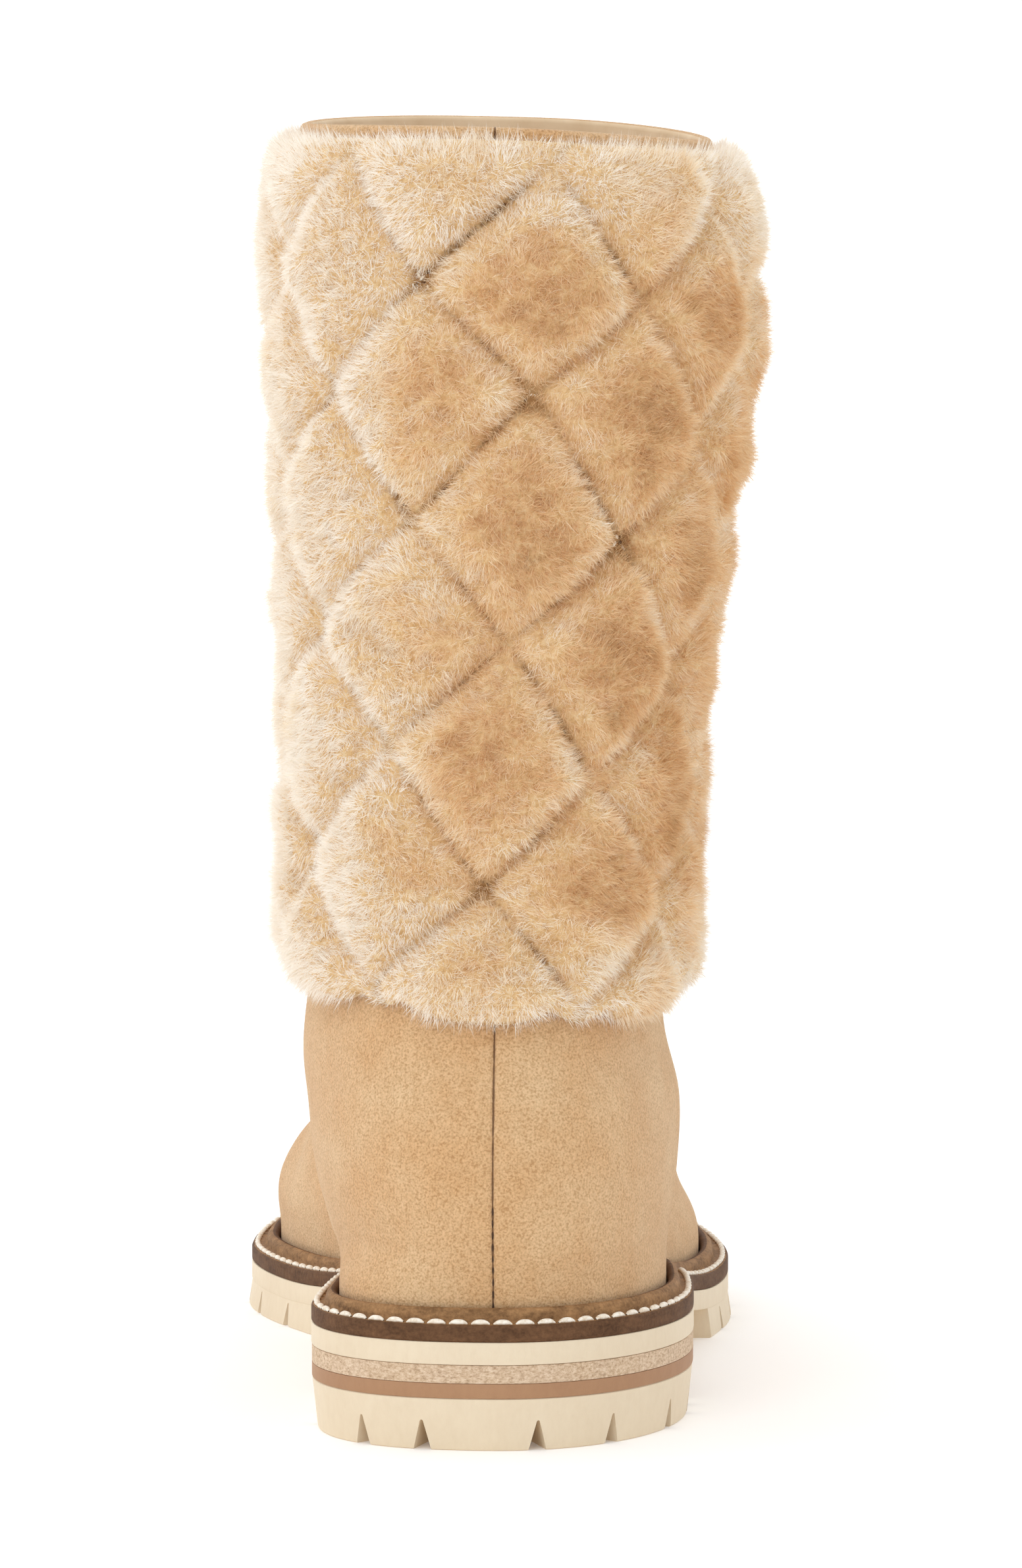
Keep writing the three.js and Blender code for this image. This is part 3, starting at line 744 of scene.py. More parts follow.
cream_rubber = rubber("cream_rubber", (0.78, 0.665, 0.495), (0.72, 0.595, 0.43))
brown_rubber = rubber("brown_rubber", (0.42, 0.235, 0.125), (0.36, 0.19, 0.1))
print("rubbers:", cream_rubber.name, brown_rubber.name)

# %% [markdown]
# **Leatherboard** is pressed from leather fibres, so its sanded edge is speckled. Flattened noise gives the
# fibres, and a wider, softer noise gives the smears left by the sanding belt.

# %% Leatherboard
board = Recipe("leatherboard", 0.85, specular=0.2)
flecks = board.noise(0.0008, detail=4, roughness=0.75, where=board.stretched(1, 1, 1.8))
fibres = board.ramp(flecks, [(0.33, (0.29, 0.17, 0.09)), (0.47, (0.6, 0.43, 0.28)),
                             (0.66, (0.86, 0.7, 0.53))])
smears = board.ramp(board.noise(0.012, detail=3), [(0.35, (0.56, 0.41, 0.27)), (0.65, (0.66, 0.52, 0.4))])
board.colour(board.blend(0.32, fibres, smears))
board.bump(flecks, 0.0001)

print("leatherboard:", len(board.tree.nodes), "nodes")

# %% [markdown]
# **Threads** are twisted from fine strands, so along a stitch the tone flickers between a dark and a light.
# The sock's soft leather is mottled in the same way, over a wider scale.

# %% Threads and lining


def mottled(name, roughness, size, dark, light, light_from=0.7, detail=3.0, sheen=0.0):
    made = Recipe(name, roughness, sheen=sheen)
    made.colour(made.ramp(made.noise(size, detail=detail), [(0.3, dark), (light_from, light)]))
    return made.material


STRAND = 0.0006
cream_thread = mottled("cream_thread", 0.7, 0.0008, (0.72, 0.6, 0.45), (0.93, 0.88, 0.78),
                       light_from=0.6, sheen=0.2)
dark_thread = mottled("dark_thread", 0.75, STRAND, (0.035, 0.02, 0.012), (0.11, 0.06, 0.035))
# Painted shade: this dark brown stands for the shadow in the quilting's needle holes.
painted_hole_shade = mottled("painted_hole_shade", 0.8, STRAND, (0.1, 0.05, 0.022), (0.22, 0.12, 0.055))
sand_thread = mottled("sand_thread", 0.75, STRAND, (0.44, 0.29, 0.15), (0.66, 0.48, 0.28), sheen=0.2)
# The sock leather is lighter than the suede, and on the upper's inside it paints light into the shade.
lining = mottled("sock_leather", 0.8, 0.01, (0.66, 0.49, 0.31), (0.8, 0.64, 0.45), detail=5)
print("threads:", [made.name for made in (cream_thread, dark_thread, painted_hole_shade, sand_thread)])

# %% [markdown]
# ## The upper
#
# The upper is one hollow wall of suede: an outer skin from the welt to the collar, rolled over the rim, and
# the lining back down inside. It could be a subdivided block pulled into shape, but a stack of rings keeps
# to the last's own sizes and leaves a column free to lie on each seam. The back seam is a butt seam that
# pinches in. On each side the counter laps over the vamp, so the surface steps down at the lap's edge.
# Walking has left soft folds over the instep and across the vamp, which are placed as troughs with ridges
# between.

# %% Columns of the upper
BACK_SEAM_SHARES = np.array([0.0009, 0.0019, 0.0032, 0.0052])
LAP_SHARE = 0.32
LAP_STEPS = np.array([-0.0065, -0.0035, -0.0015, 0, 0.0015, 0.0035, 0.0065])
LAP_ROOM = 0.008
even = np.linspace(0, 1, 111)
even = even[np.abs(even - LAP_SHARE) > LAP_ROOM]
upper_shares = np.unique(np.concatenate([even, BACK_SEAM_SHARES, LAP_SHARE + LAP_STEPS]))
base_share, side = ring_places(upper_shares)
print("columns round the upper:", len(base_share))

# %% [markdown]
# The lap's edge is a line on the side of the boot, given by its height and its distance from the heel's
# back. The columns could stay evenly spread and the step be cut across them, but the edge would then be
# jagged. So each ring's columns are slid along it until one of them lies on the line.

# %% The lap's line
LAP_LINE = table("z along", [(10, 66), (24, 60), (45, 56), (70, 57), (100, 64), (260, 64)])
LAP_COLUMN = int(np.argmin(np.abs(upper_shares - LAP_SHARE)))
slide = np.where(base_share < LAP_SHARE, base_share / LAP_SHARE, (1 - base_share) / (1 - LAP_SHARE))
slide = np.where(np.abs(base_share - LAP_SHARE) < LAP_ROOM, 1, slide * slide * (3 - 2 * slide))


def settled(make_ring):
    """A ring whose columns are slid along it until the lap's column lies on the lap's line."""
    shift = 0.0
    for _ in range(5):
        ring = make_ring(base_share + shift * slide)
        behind, at, ahead = ring[LAP_COLUMN - 1 : LAP_COLUMN + 2]
        per_share = (ahead[0] - behind[0]) / (base_share[LAP_COLUMN + 1] - base_share[LAP_COLUMN - 1])
        shift += (float(row_at(LAP_LINE, at[2])["along"]) - at[0]) / per_share
    return ring


print("the lap lies on column", LAP_COLUMN)

# %% [markdown]
# Behind the welt's bead the upper stands straight up from the feather line, the edge that the last sits on
# the sole by. A little higher it blends into the foot's own shape. Above the ankle the rings tilt until
# they meet the rim.

# %% Rings of the upper
foot_levels = np.concatenate([np.linspace(10.2, 50, 40), np.linspace(51, 98, 32)])
shaft_levels = np.linspace(102, 240, 24)


def foot_ring(level):
    levels = np.full(base_share.shape, float(level))
    leave = ease(level, FOREFOOT_TOP + FEATHER_RISE, FOREFOOT_TOP + FEATHER_RISE + FEATHER_BLEND)

    def ring(share):
        along, across, z = skin_point(share, side, levels)
        feather_along, feather_across = inset_loop(feather_inset, share, side)
        feather_z = level_at(levels, feather_along)
        return np.stack([mix(feather_along, along, leave), mix(feather_across, across, leave),
                         mix(feather_z, z, leave)], -1)

    return settled(ring)


def shaft_ring(level):
    tilt = ease(level, 95, RIM_BACK)

    def ring(share):
        return np.stack(skin_point(share, side, level + (rim_height(share, side) - RIM_BACK) * tilt), -1)

    return settled(ring)


def unit(vectors):
    return vectors / np.maximum(np.linalg.norm(vectors, axis=-1, keepdims=True), 1e-9)


def skin_normals(rings):
    """Outward normals of a stack of rings, in the last's own directions."""
    round_step = np.roll(rings, -1, 1) - np.roll(rings, 1, 1)
    return unit(np.cross(np.gradient(rings, axis=0), round_step))


print("rings:", len(foot_levels), "on the foot and", len(shaft_levels), "on the shaft")

# %% [markdown]
# Folds, the lap and the back seam's pinch are depths that are taken off the skin along its normals.
# Sculpting or cloth would give folds as well, but where each one lies would be left to luck.

# %% Folds of the upper
# Each fold: its line as (along, across, z) places, its half width, and its depth (a ridge's is negative).
FOLDS = [
    ([(112, -36, 96), (134, -3, 86), (112, 30, 95)], 4.5, 1.7),
    ([(116, -38, 84), (142, -4, 76), (116, 28, 85)], 5.0, -1.0),
    ([(124, -40, 76), (150, -6, 70), (124, 28, 76)], 4.0, 1.6),
    ([(108, -36, 62), (128, -36, 58)], 5.0, 0.8),
    ([(106, 30, 64), (128, 28, 58)], 5.0, 0.8),
    ([(184, -52, 34), (192, -14, 54), (186, 26, 38)], 4.0, 1.0),
    ([(196, -54, 30), (203, -14, 52), (198, 28, 34)], 4.5, -0.7),
    ([(207, -54, 28), (213, -14, 50), (208, 28, 30)], 4.0, 0.9),
    ([(30, 31, 62), (52, 33, 56)], 6.0, 0.7),
    ([(28, -34, 66), (50, -38, 60)], 6.0, 0.7),
]


def fold_depth(points):
    total = np.zeros(points.shape[:-1])
    for line_places, width, depth in FOLDS:
        near = np.full(points.shape[:-1], 1e9)
        for start, end in zip(line_places, line_places[1:]):
            start, run = np.array(start, float), np.array(end, float) - np.array(start, float)
            t = np.clip(((points - start) @ run) / (run @ run), 0, 1)
            near = np.minimum(near, np.linalg.norm(points - start - t[..., None] * run, axis=-1))
        total += depth * np.exp(-((near / width) ** 2))
    return total


print("folds:", len(FOLDS))

# %% [markdown]
# The lap is a step with a pinch at its edge, where the stitches draw it down. The back seam is a narrow
# nick in a wider hollow. With the folds, they make the skin's final relief.

# %% Seams of the upper


def lap_depth(points):
    """The vamp ahead of the lap lies a little deeper than the counter, with a pinch at the edge."""
    ahead = points[..., 0] - row_at(LAP_LINE, points[..., 2])["along"]
    step = ease(ahead, -0.3, 0.5) * np.exp(-np.clip(ahead, 0, None) / 9)
    pinch = np.exp(-(((ahead - 0.5) / 0.5) ** 2))
    return (0.75 * step + 0.3 * pinch) * ease(points[..., 2], 12, 20) * (1 - ease(points[..., 2], 90, 110))


def seam_pinch(points):
    """The butt seam up the back: a narrow nick in a wider hollow."""
    near = points[..., 1]
    nick = 0.5 * np.exp(-((near / 0.3) ** 2))
    hollow = 0.25 * np.exp(-((near / 1.5) ** 2))
    return (nick + hollow) * (points[..., 0] < 40)


rim_ring = shaft_ring(RIM_BACK - 1.4)
outer = np.stack([*map(foot_ring, foot_levels), *map(shaft_ring, shaft_levels), rim_ring])
normals = skin_normals(outer)
normals[0, :, 2] = 0
depth = seam_pinch(outer) + fold_depth(outer) + lap_depth(outer)
outer_skin = outer - normals * depth[..., None]
print("deepest fold or seam:", depth.max().round(2), "mm")

# %% [markdown]
# At the rim the suede is rolled over to the inside, so the wall ends in half a round. From the middle of
# that round the faces take the lining's lighter colour, which paints light into the shaded inside of the
# shaft, and run back down to the sole.

# %% The upper's wall
ROLL_TURNS = np.radians([20, 50, 90, 130, 160])
HALF_WALL = UPPER_WALL / 2
rim_middle = outer[-1] - normals[-1] * HALF_WALL
upwards = np.array([0, 0, 1.0])
roll = [rim_middle + (normals[-1] * math.cos(turn) + upwards * math.sin(turn)) * HALF_WALL
        for turn in ROLL_TURNS]
inner_skin = (outer - normals * UPPER_WALL)[::-1][::3]
rings = np.concatenate([outer_skin, np.stack(roll), inner_skin])
faces = grid_faces(len(rings), rings.shape[1], close_rows=True)


def frame_points(points):
    return to_frame(points[..., 0], points[..., 1], points[..., 2])


upper = new_object("suede_upper", frame_points(rings).reshape(-1, 3), faces)
upper.data.materials.append(suede.material)
upper.data.materials.append(lining)
ring_of_face = np.arange(len(faces)) // rings.shape[1]
# The inside faces take the lighter lining colour: painted light in the shade inside the shaft.
painted_light_inside = ring_of_face >= len(outer) + 3
upper.data.polygons.foreach_set("material_index", painted_light_inside.astype(np.int32))
fit_out(upper, None, "suede", "upper")

# %% [markdown]
# The back seam is closed with a brown thread that shows as short sunk dashes low down, and the lap is held
# by a row of stitches a little behind its edge. One stitch is modelled as a flattened sausage, then copied
# along each line, turned to lie on the skin.

# %% A stitch, and copies of it along a line


def stitch_shape(length, width, height, rings=6, sides=6):
    """A stitch lying along x: a flattened, tapered sausage whose ends dip into their holes."""
    t = np.linspace(0, 1, rings)[:, None]
    a = np.linspace(0, 2 * math.pi, sides, endpoint=False)[None]
    swell = np.sin(np.pi * np.clip(t, 0.04, 0.96)) ** 0.45
    x = (t - 0.5) * length + 0 * a
    y = np.cos(a) * width / 2 * swell
    z = np.sin(a) * height / 2 * swell - 0.35 * height * (2 * t - 1) ** 4
    return np.stack([x, y, z], -1).reshape(-1, 3), grid_faces(rings, sides)


def copies(name, shape, faces, places, forwards, ups, scales=None):
    """One mesh that holds a copy of a shape at every place, turned to its own forward and up."""
    forwards = unit(forwards)
    across = unit(np.cross(ups, forwards))
    ups = np.cross(forwards, across)
    scales = np.ones(len(places)) if scales is None else scales
    local = shape[None] * scales[:, None, None]
    points = (places[:, None] + local[..., :1] * forwards[:, None] + local[..., 1:2] * across[:, None]
              + local[..., 2:] * ups[:, None])
    all_faces = (faces[None] + (np.arange(len(places)) * len(shape))[:, None, None]).reshape(-1, 4)
    return new_object(name, points.reshape(-1, 3), all_faces)


def lengths_along(line):
    """How far along a line each of its points lies."""
    return np.concatenate([[0], np.cumsum(np.linalg.norm(np.diff(line, axis=0), axis=1))])


def points_at(at, lengths, line):
    """The points that lie at given lengths along a line."""
    return np.stack([np.interp(at, lengths, column) for column in line.T], -1)


def along_line(points, pitch, closed=True):
    """Places at an even pitch along a line of points, and the way that it runs there."""
    loop = np.concatenate([points, points[:1]]) if closed else points
    lengths = lengths_along(loop)
    count = int(round(lengths[-1] / pitch))
    at = (np.arange(count) + 0.5) * lengths[-1] / count
    ahead, behind = (points_at(at + shift, lengths, loop) for shift in (pitch * 0.1, pitch * -0.1))
    return points_at(at, lengths, loop), ahead - behind


shape, _ = stitch_shape(1, 1, 1)
print("a stitch is made of", len(shape), "corners")

# %% [markdown]
# Both rows of the upper's stitches are short and fine beside the welt's. The back seam's thread is dark and
# sunk, and the lap's is the suede's own colour.

# %% Stitches of the upper
BACK_STITCH, LAP_STITCH, LAP_STITCH_INSET = 2.3, 2.6, 2.4
BACK_STITCH_ROWS = 34
BACK_STITCH_SUNK, LAP_STITCH_SUNK = 0.55, 0.12


def frame_normals(normals):
    return np.stack([-normals[..., 1], -normals[..., 0], normals[..., 2]], -1)


back_line = frame_points((outer - normals * BACK_STITCH_SUNK)[:BACK_STITCH_ROWS, 0])
places, forwards = along_line(back_line, BACK_STITCH * MM, closed=False)
shape, faces = stitch_shape(BACK_STITCH * 0.6 * MM, 0.32 * MM, 0.4 * MM)
backwards = np.tile([0, 1.0, 0], (len(places), 1))
back_stitches = copies("back_seam_stitches", shape, faces, places, forwards, backwards)
fit_out(back_stitches, dark_thread, "suede")

for name, column, step in (("lateral", LAP_COLUMN, -1), ("medial", len(base_share) - LAP_COLUMN, 1)):
    back_from_lap = column + step * np.arange(12)
    holes, out = [], []
    for path, path_normals in zip(outer_skin[4:len(foot_levels), back_from_lap],
                                  normals[4:len(foot_levels), back_from_lap]):
        run = lengths_along(path)
        holes.append(points_at(LAP_STITCH_INSET, run, path))
        out.append(points_at(LAP_STITCH_INSET, run, path_normals))
    holes, out = np.stack(holes), np.stack(out)
    row_line, row_out = frame_points(holes - out * LAP_STITCH_SUNK), frame_normals(out)
    places, forwards = along_line(row_line, LAP_STITCH * MM, closed=False)
    ups = unit(points_at(places[:, 2], row_line[:, 2], row_out))
    shape, faces = stitch_shape(LAP_STITCH * 0.75 * MM, 0.42 * MM, 0.36 * MM)
    fit_out(copies(f"lap_stitches_{name}", shape, faces, places, forwards, ups), sand_thread, "suede")

# %% [markdown]
# ## The sole
#
# The sole is built up as a shoemaker would: a rubber layer along the whole length with the forefoot's tread
# moulded under it, and under the heel a leatherboard lift, a brown lift and a rubber top piece. Each is a
# stack of outlines with a small rounded edge, and V-shaped grooves are cut in from the edge with wedges.

# %% Outlines for the sole
SOLE_SHARES = even_shares(360)
HEEL_TAPER, FOREFOOT_TAPER, FLOOR_BEVEL, EDGE_ROUND = 1.2, -0.6, 0.4, 0.3


def sole_ring(inset, height):
    along, across = sole_loop(inset, SOLE_SHARES)
    return to_frame(along, across, height(along) if callable(height) else height)


def as_height(value):
    """A height that is a number becomes a function of along, like the others."""
    return value if callable(value) else lambda along: np.full(np.shape(along), float(value))


def slab(name, bottom, top, inset=0.0, bevel=EDGE_ROUND):
    """A layer of the sole with rounded edges. bottom and top are numbers, or functions of along."""
    low, high = as_height(bottom), as_height(top)
    half = bevel * (1 - math.sqrt(0.5))
    steps = [(bevel, 0), (half, half), (0, bevel)]
    below = [sole_ring(inset + aside, lambda along, up=up: low(along) + up) for aside, up in steps]
    above = [sole_ring(inset + aside, lambda along, up=up: high(along) - up) for aside, up in steps[::-1]]
    return stack(name, below + above)


print("the sole's outline has", len(sole_loop(0, SOLE_SHARES)[0]), "corners")

# %% [markdown]
# The heel's layers end at the breast, the heel's hollowed front, and the tread starts ahead of the waist.
# Each is cut from a full-length layer by keeping what lies in a block, so its sides stay on the sole's own
# outline.

# %% Blocks that mark the heel and the tread
WIDE = 90
BLOCK_BOTTOM, BLOCK_TOP = -5, 40
BEHIND_HEEL = -5


def prism_faces(start, count):
    """The faces of a prism whose two ends are rings of count corners."""
    near, far = range(start, start + count), range(start + count, start + 2 * count)
    sides = [(near[i], near[(i + 1) % count], far[(i + 1) % count], far[i]) for i in range(count)]
    return [tuple(near)[::-1], tuple(far), *sides]


def tool_object(name, points, faces):
    """A plain solid to cut with, whose faces may have any number of corners."""
    mesh = bpy.data.meshes.new(name)
    mesh.from_pydata(points.tolist(), [], faces)
    tool = bpy.data.objects.new(name, mesh)
    bpy.context.scene.collection.objects.link(tool)
    return merge_close(tool)


def block(name, corners):
    """A straight-sided block on a plan of (along, across) corners."""
    plan = np.array(corners, float)
    points = np.concatenate([to_frame(plan[:, 0], plan[:, 1], z) for z in (BLOCK_BOTTOM, BLOCK_TOP)])
    return tool_object(name, points, prism_faces(0, len(plan)))


def heel_area():
    hollow = [(HEEL_BREAST + BREAST_HOLLOW * (x / 36) ** 2, x) for x in np.linspace(40, -40, 17)]
    back = [(BEHIND_HEEL, -WIDE), (BEHIND_HEEL, WIDE)]
    return block("heel_area", [*back, (hollow[0][0], WIDE), *hollow, (hollow[-1][0], -WIDE)])


def tread_area():
    ahead = SOLE_LENGTH + WIDE
    return block("tread_area", [
        (TREAD_START_LATERAL, WIDE), (ahead, WIDE), (ahead, -WIDE), (TREAD_START_MEDIAL, -WIDE)])


print("heel ends at", HEEL_BREAST, "mm, and the tread starts at", TREAD_START_MEDIAL, "mm")

# %% [markdown]
# A groove is a wedge pushed in from the edge, square to it: wide at the floor, and closed by a small round
# at its top. All wedges of one layer are cut at once, which is quicker than a cut for each.

# %% One groove
APEX_ROUND, GROOVE_SPLAY, GROOVE_BELOW = 0.32, 0.35, 1.2
GROOVE_REACH, GROOVE_OUTSIDE = 11.0, 5.0


def groove(along, across, heading, width, height, base):
    """A wedge, wide at the floor, with a small round top. It runs in from the edge along its heading."""
    middle = height - APEX_ROUND
    turns = np.radians([-80, -40, 0, 40, 80])
    apex = [(APEX_ROUND * math.sin(turn), middle + APEX_ROUND * math.cos(turn)) for turn in turns]
    foot = width / 2 + GROOVE_SPLAY
    section = [(-foot, -GROOVE_BELOW), *apex, (foot, -GROOVE_BELOW)]
    out = np.array([-math.cos(heading), math.sin(heading)])
    aside = np.array([math.sin(heading), math.cos(heading)])
    corners = []
    for run in (GROOVE_OUTSIDE, -GROOVE_REACH):
        for x, z in section:
            corners.append((*(np.array([along, across]) + out * run + aside * x), z + base))
    return np.array(corners)


print("a groove's wedge has", len(groove(0, 0, 0, 3, 5, 0)), "corners")

# %% [markdown]
# Most of the heel's grooves are wide ones round its back, and the ones further forward are narrower. The
# forefoot's are evenly spaced, and rise with the toe.

# %% All the grooves


def grooves_tool(name, wedges):
    count = len(wedges[0]) // 2
    faces = [face for i in range(len(wedges)) for face in prism_faces(2 * count * i, count)]
    return tool_object(name, frame_points(np.concatenate(wedges)), faces)


def edge_heading(along, side):
    """Which way is out of the sole at a place on its side, as a turn from straight back."""
    step = 0.5
    change = sole_point(along + step, side) - sole_point(along - step, side)
    return side * math.atan2(2 * step, float(change) * side)


# Each groove's side, its distance from the back of the heel, and its width.
HEEL_GROOVES = [
    (LATERAL, 1.5, 3.4), (LATERAL, 11, 3.4), (LATERAL, 29.5, 3.4), (LATERAL, 48, 2.6), (LATERAL, 59, 2.6),
    (MEDIAL, 1.4, 3.4), (MEDIAL, 7.3, 3.4), (MEDIAL, 31, 2.6), (MEDIAL, 48, 2.6), (MEDIAL, 59, 2.6),
]
FOREFOOT_GROOVES = [165, 184, 203, 222, 240, 256]


HEEL_GROOVE_HEIGHT, FOREFOOT_GROOVE_WIDTH, FOREFOOT_GROOVE_HEIGHT = 5.6, 3.0, 5.0


def edge_groove(side, along, width, height, base=0.0):
    return groove(along, float(sole_point(along, side)), edge_heading(along, side), width, height, base)


heel_grooves = [edge_groove(*groove_row, HEEL_GROOVE_HEIGHT) for groove_row in HEEL_GROOVES]
forefoot_grooves = []
for along in FOREFOOT_GROOVES:
    for side_sign in (LATERAL, MEDIAL):
        base = float(toe_spring(along))
        wedge = edge_groove(side_sign, along, FOREFOOT_GROOVE_WIDTH, FOREFOOT_GROOVE_HEIGHT, base)
        forefoot_grooves.append(wedge)
print("grooves:", len(heel_grooves), "in the heel,", len(forefoot_grooves), "in the forefoot")

# %% [markdown]
# The rubber that meets the floor narrows a little downwards at the heel and spreads a little at the
# forefoot. The tread and the runner above it are one moulding on the real sole, so they are joined into one
# solid.

# %% Outsole and heel block
FLOOR_ROUND = FLOOR_BEVEL * 0.3


def side_taper(along):
    """How much narrower the tread is at the floor: the heel narrows, and the forefoot spreads a little."""
    return mix(HEEL_TAPER, FOREFOOT_TAPER, ease(along, 90, 150))


def tread_body(name, top):
    top_at = as_height(top)
    return stack(name, [
        sole_ring(lambda along: side_taper(along) + FLOOR_BEVEL, toe_spring),
        sole_ring(
            lambda along: side_taper(along) + FLOOR_ROUND,
            lambda along: toe_spring(along) + FLOOR_ROUND,
        ),
        sole_ring(side_taper, lambda along: toe_spring(along) + FLOOR_BEVEL),
        sole_ring(0.2, lambda along: top_at(along) - 0.2),
        sole_ring(0.4, top_at),
    ])


def runner_bottom(along):
    return sole_top(along) - RUNNER_THICK


tread = cut(tread_body("tread", lambda along: runner_bottom(along) + 0.4), tread_area(), "INTERSECT")
tread = cut(tread, grooves_tool("forefoot_grooves", forefoot_grooves))
outsole = cut(slab("rubber_outsole", runner_bottom, sole_top), tread, "UNION")
fit_out(crisp(outsole), cream_rubber, "cream_rubber", "outsole")

heel_block = cut(tread_body("heel_top_piece", 9.7), heel_area(), "INTERSECT")
heel_block = cut(heel_block, grooves_tool("heel_grooves", heel_grooves))
fit_out(crisp(heel_block), cream_rubber, "cream_rubber", "heel_block")

# %% [markdown]
# The two lifts are cut from sheet, glued on and sanded with the rest, so their edges are crisp and lie a
# hair inside the rubber's.

# %% Heel lifts
LIFT_EDGE = 0.12
LIFTS = [
    ("brown_heel_lift", 9.75, 12.45, brown_rubber, "brown_rubber", "heel_lift_brown"),
    ("leatherboard_heel_lift", 12.5, 15.85, board.material, "leatherboard", "heel_lift_leatherboard"),
]
for name, bottom, top, material, slot, node in LIFTS:
    lift = cut(slab(name, bottom, top, LIFT_EDGE, LIFT_EDGE), heel_area(), "INTERSECT")
    fit_out(crisp(lift), material, slot, node)

# %% [markdown]
# ## The storm welt
#
# The welt is a strip of leather that is sewn to the upper and then, through its flat edge, to the sole. Its
# bead stands up against the suede and keeps water out. A section is swept round the sole's outline. The
# edge is trimmed and stained dark, and the top is lighter, so the faces take one of two materials. The
# bead's top and back, against the suede, take the dark one too, as a painted shadow line.

# %% Welt
# Share of the welt's width in from its edge, height over the sole, and whether it takes the dark leather:
# the stained trimmed edge outside, and painted shadow on the bead's back.
WELT_SECTION = [
    (0.05, 0.0, 1), (0.0, 0.35, 1), (0.0, 1.6, 1), (0.0, 2.7, 1), (0.02, 3.0, 1), (0.07, 3.2, 0),
    (0.2, 3.25, 0), (0.34, 3.2, 0), (0.44, 3.2, 0), (0.5, 3.6, 0), (0.53, 4.4, 0), (0.57, 5.1, 0),
    (0.64, 5.65, 0), (0.74, 5.9, 1), (0.84, 5.8, 1), (0.94, 5.3, 1), (0.97, 4.0, 1), (0.97, 0.0, 1),
]
WELT_SHARES = even_shares(480)
welt_rings = []
for inward, rise, _ in WELT_SECTION:
    along, across = sole_loop(lambda a, w=inward: w * (welt_width(a) - WELT_GAP), WELT_SHARES)
    welt_rings.append(to_frame(along, across, sole_top(along) + rise))
columns = len(welt_rings[0])
faces = grid_faces(len(WELT_SECTION), columns, close_rows=True)
welt = merge_close(new_object("storm_welt", np.concatenate(welt_rings), faces))
welt.data.materials.append(welt_edge_and_painted_shade)
welt.data.materials.append(welt_top)
# The dark faces are the stained edge, and on the bead's back a painted shadow line against the suede.
on_top = np.array([1 - dark for *_, dark in WELT_SECTION], np.int32)
welt.data.polygons.foreach_set("material_index", np.repeat(on_top, columns)[: len(welt.data.polygons)])
fit_out(welt, None, "welt_leather", "welt")

# %% [markdown]
# The lockstitch on the welt is a row of plump cream stitches, each about four millimetres long, with its
# two ends sunk in the holes. One stitch is modelled, then copied round a line just inside the welt's edge.

# %% Welt stitches
STITCH_PITCH, STITCH_INWARD, STITCH_LIFT = 4.1, 0.2, 0.42
along, across = sole_loop(lambda a: STITCH_INWARD * welt_width(a), WELT_SHARES)
stitch_line = to_frame(along, across, sole_top(along) + WELT_THICK + STITCH_LIFT)
places, forwards = along_line(stitch_line, STITCH_PITCH * MM)
shape, faces = stitch_shape(STITCH_PITCH * 0.84 * MM, 1.25 * MM, 1.05 * MM, rings=8, sides=8)
ups = np.tile([0, 0, 1.0], (len(places), 1))
stitches = copies("welt_stitches", shape, faces, places, forwards, ups)
fit_out(stitches, cream_thread, "welt_leather")
print("welt stitches:", len(places))

# %% [markdown]
# The insole is the sock that the foot stands on. It is a thin slab inside the upper, with a softened top
# edge, and shows only from above through the shaft.

# %% Insole
INSOLE_SHARES, INSOLE_GAP = even_shares(200), 0.3


def insole_ring(rise, extra):
    along, across = sole_loop(lambda a: feather_inset(a) + UPPER_WALL + INSOLE_GAP + extra, INSOLE_SHARES)
    return to_frame(along, across, sole_top(along) + rise)


insole = stack("sock_insole", [insole_ring(INSOLE_GAP, 0), insole_ring(3.4, 0), insole_ring(4, 0.8)])
fit_out(crisp(insole), lining, "insole_lining", "insole")

# %% [markdown]
# ## The sheepskin cuff
#
# The cuff is a whole sheepskin, pile outwards, quilted in diamonds to the shaft. Two families of seams
# cross at a slant. Between them the pile stands up in pillows, and at the seams it is pressed down and
# closes over the thread. Real fur is millions of hairs: here a padded backing carries the pillows' shape,
# and hundreds of thousands of fine blades stand on it as the hairs. Hair curves would render well but can't
# be handed on as a mesh, so the blades are made directly as mesh faces.

# %% Sizes of the cuff
HEM_BACK, HEM_FRONT, HEM_MEDIAL_RISE = 80, 90, 3.0
HEM_LOBE = 3.3
CUFF_BELOW_RIM = 2.8
CUFF_CLEARANCE = 1.0
JOIN_SHARE = 0.66
PILE_TOP, PILE_GROOVE, PILE_EDGE = 9.9, 3.6, 3.0
PILLOW_SHOULDER, SHOULDER_POWER = 8.6, 2.3
CLOSED_GROOVE = 0.24
print("pile:", PILE_GROOVE, "mm in a groove,", PILE_TOP, "mm on a pillow")

# %% [markdown]
# The seams were sewn by hand, so they wander a few millimetres off their straight lines, and the pile parts
# over them only here and there. Both are short lists of places, given by how far round the shaft from the
# middle of the back they are, and how high. A soft noise of a few seeded waves does the rest.

# %% The two families of seams
# The two families of seams: the slope of each in degrees, and the distance from one seam to the next.
QUILT_SEAMS = [(-55.5, 28.2), (44.3, 28.9)]
QUILT_CROSSING = (5.7, 191.7)
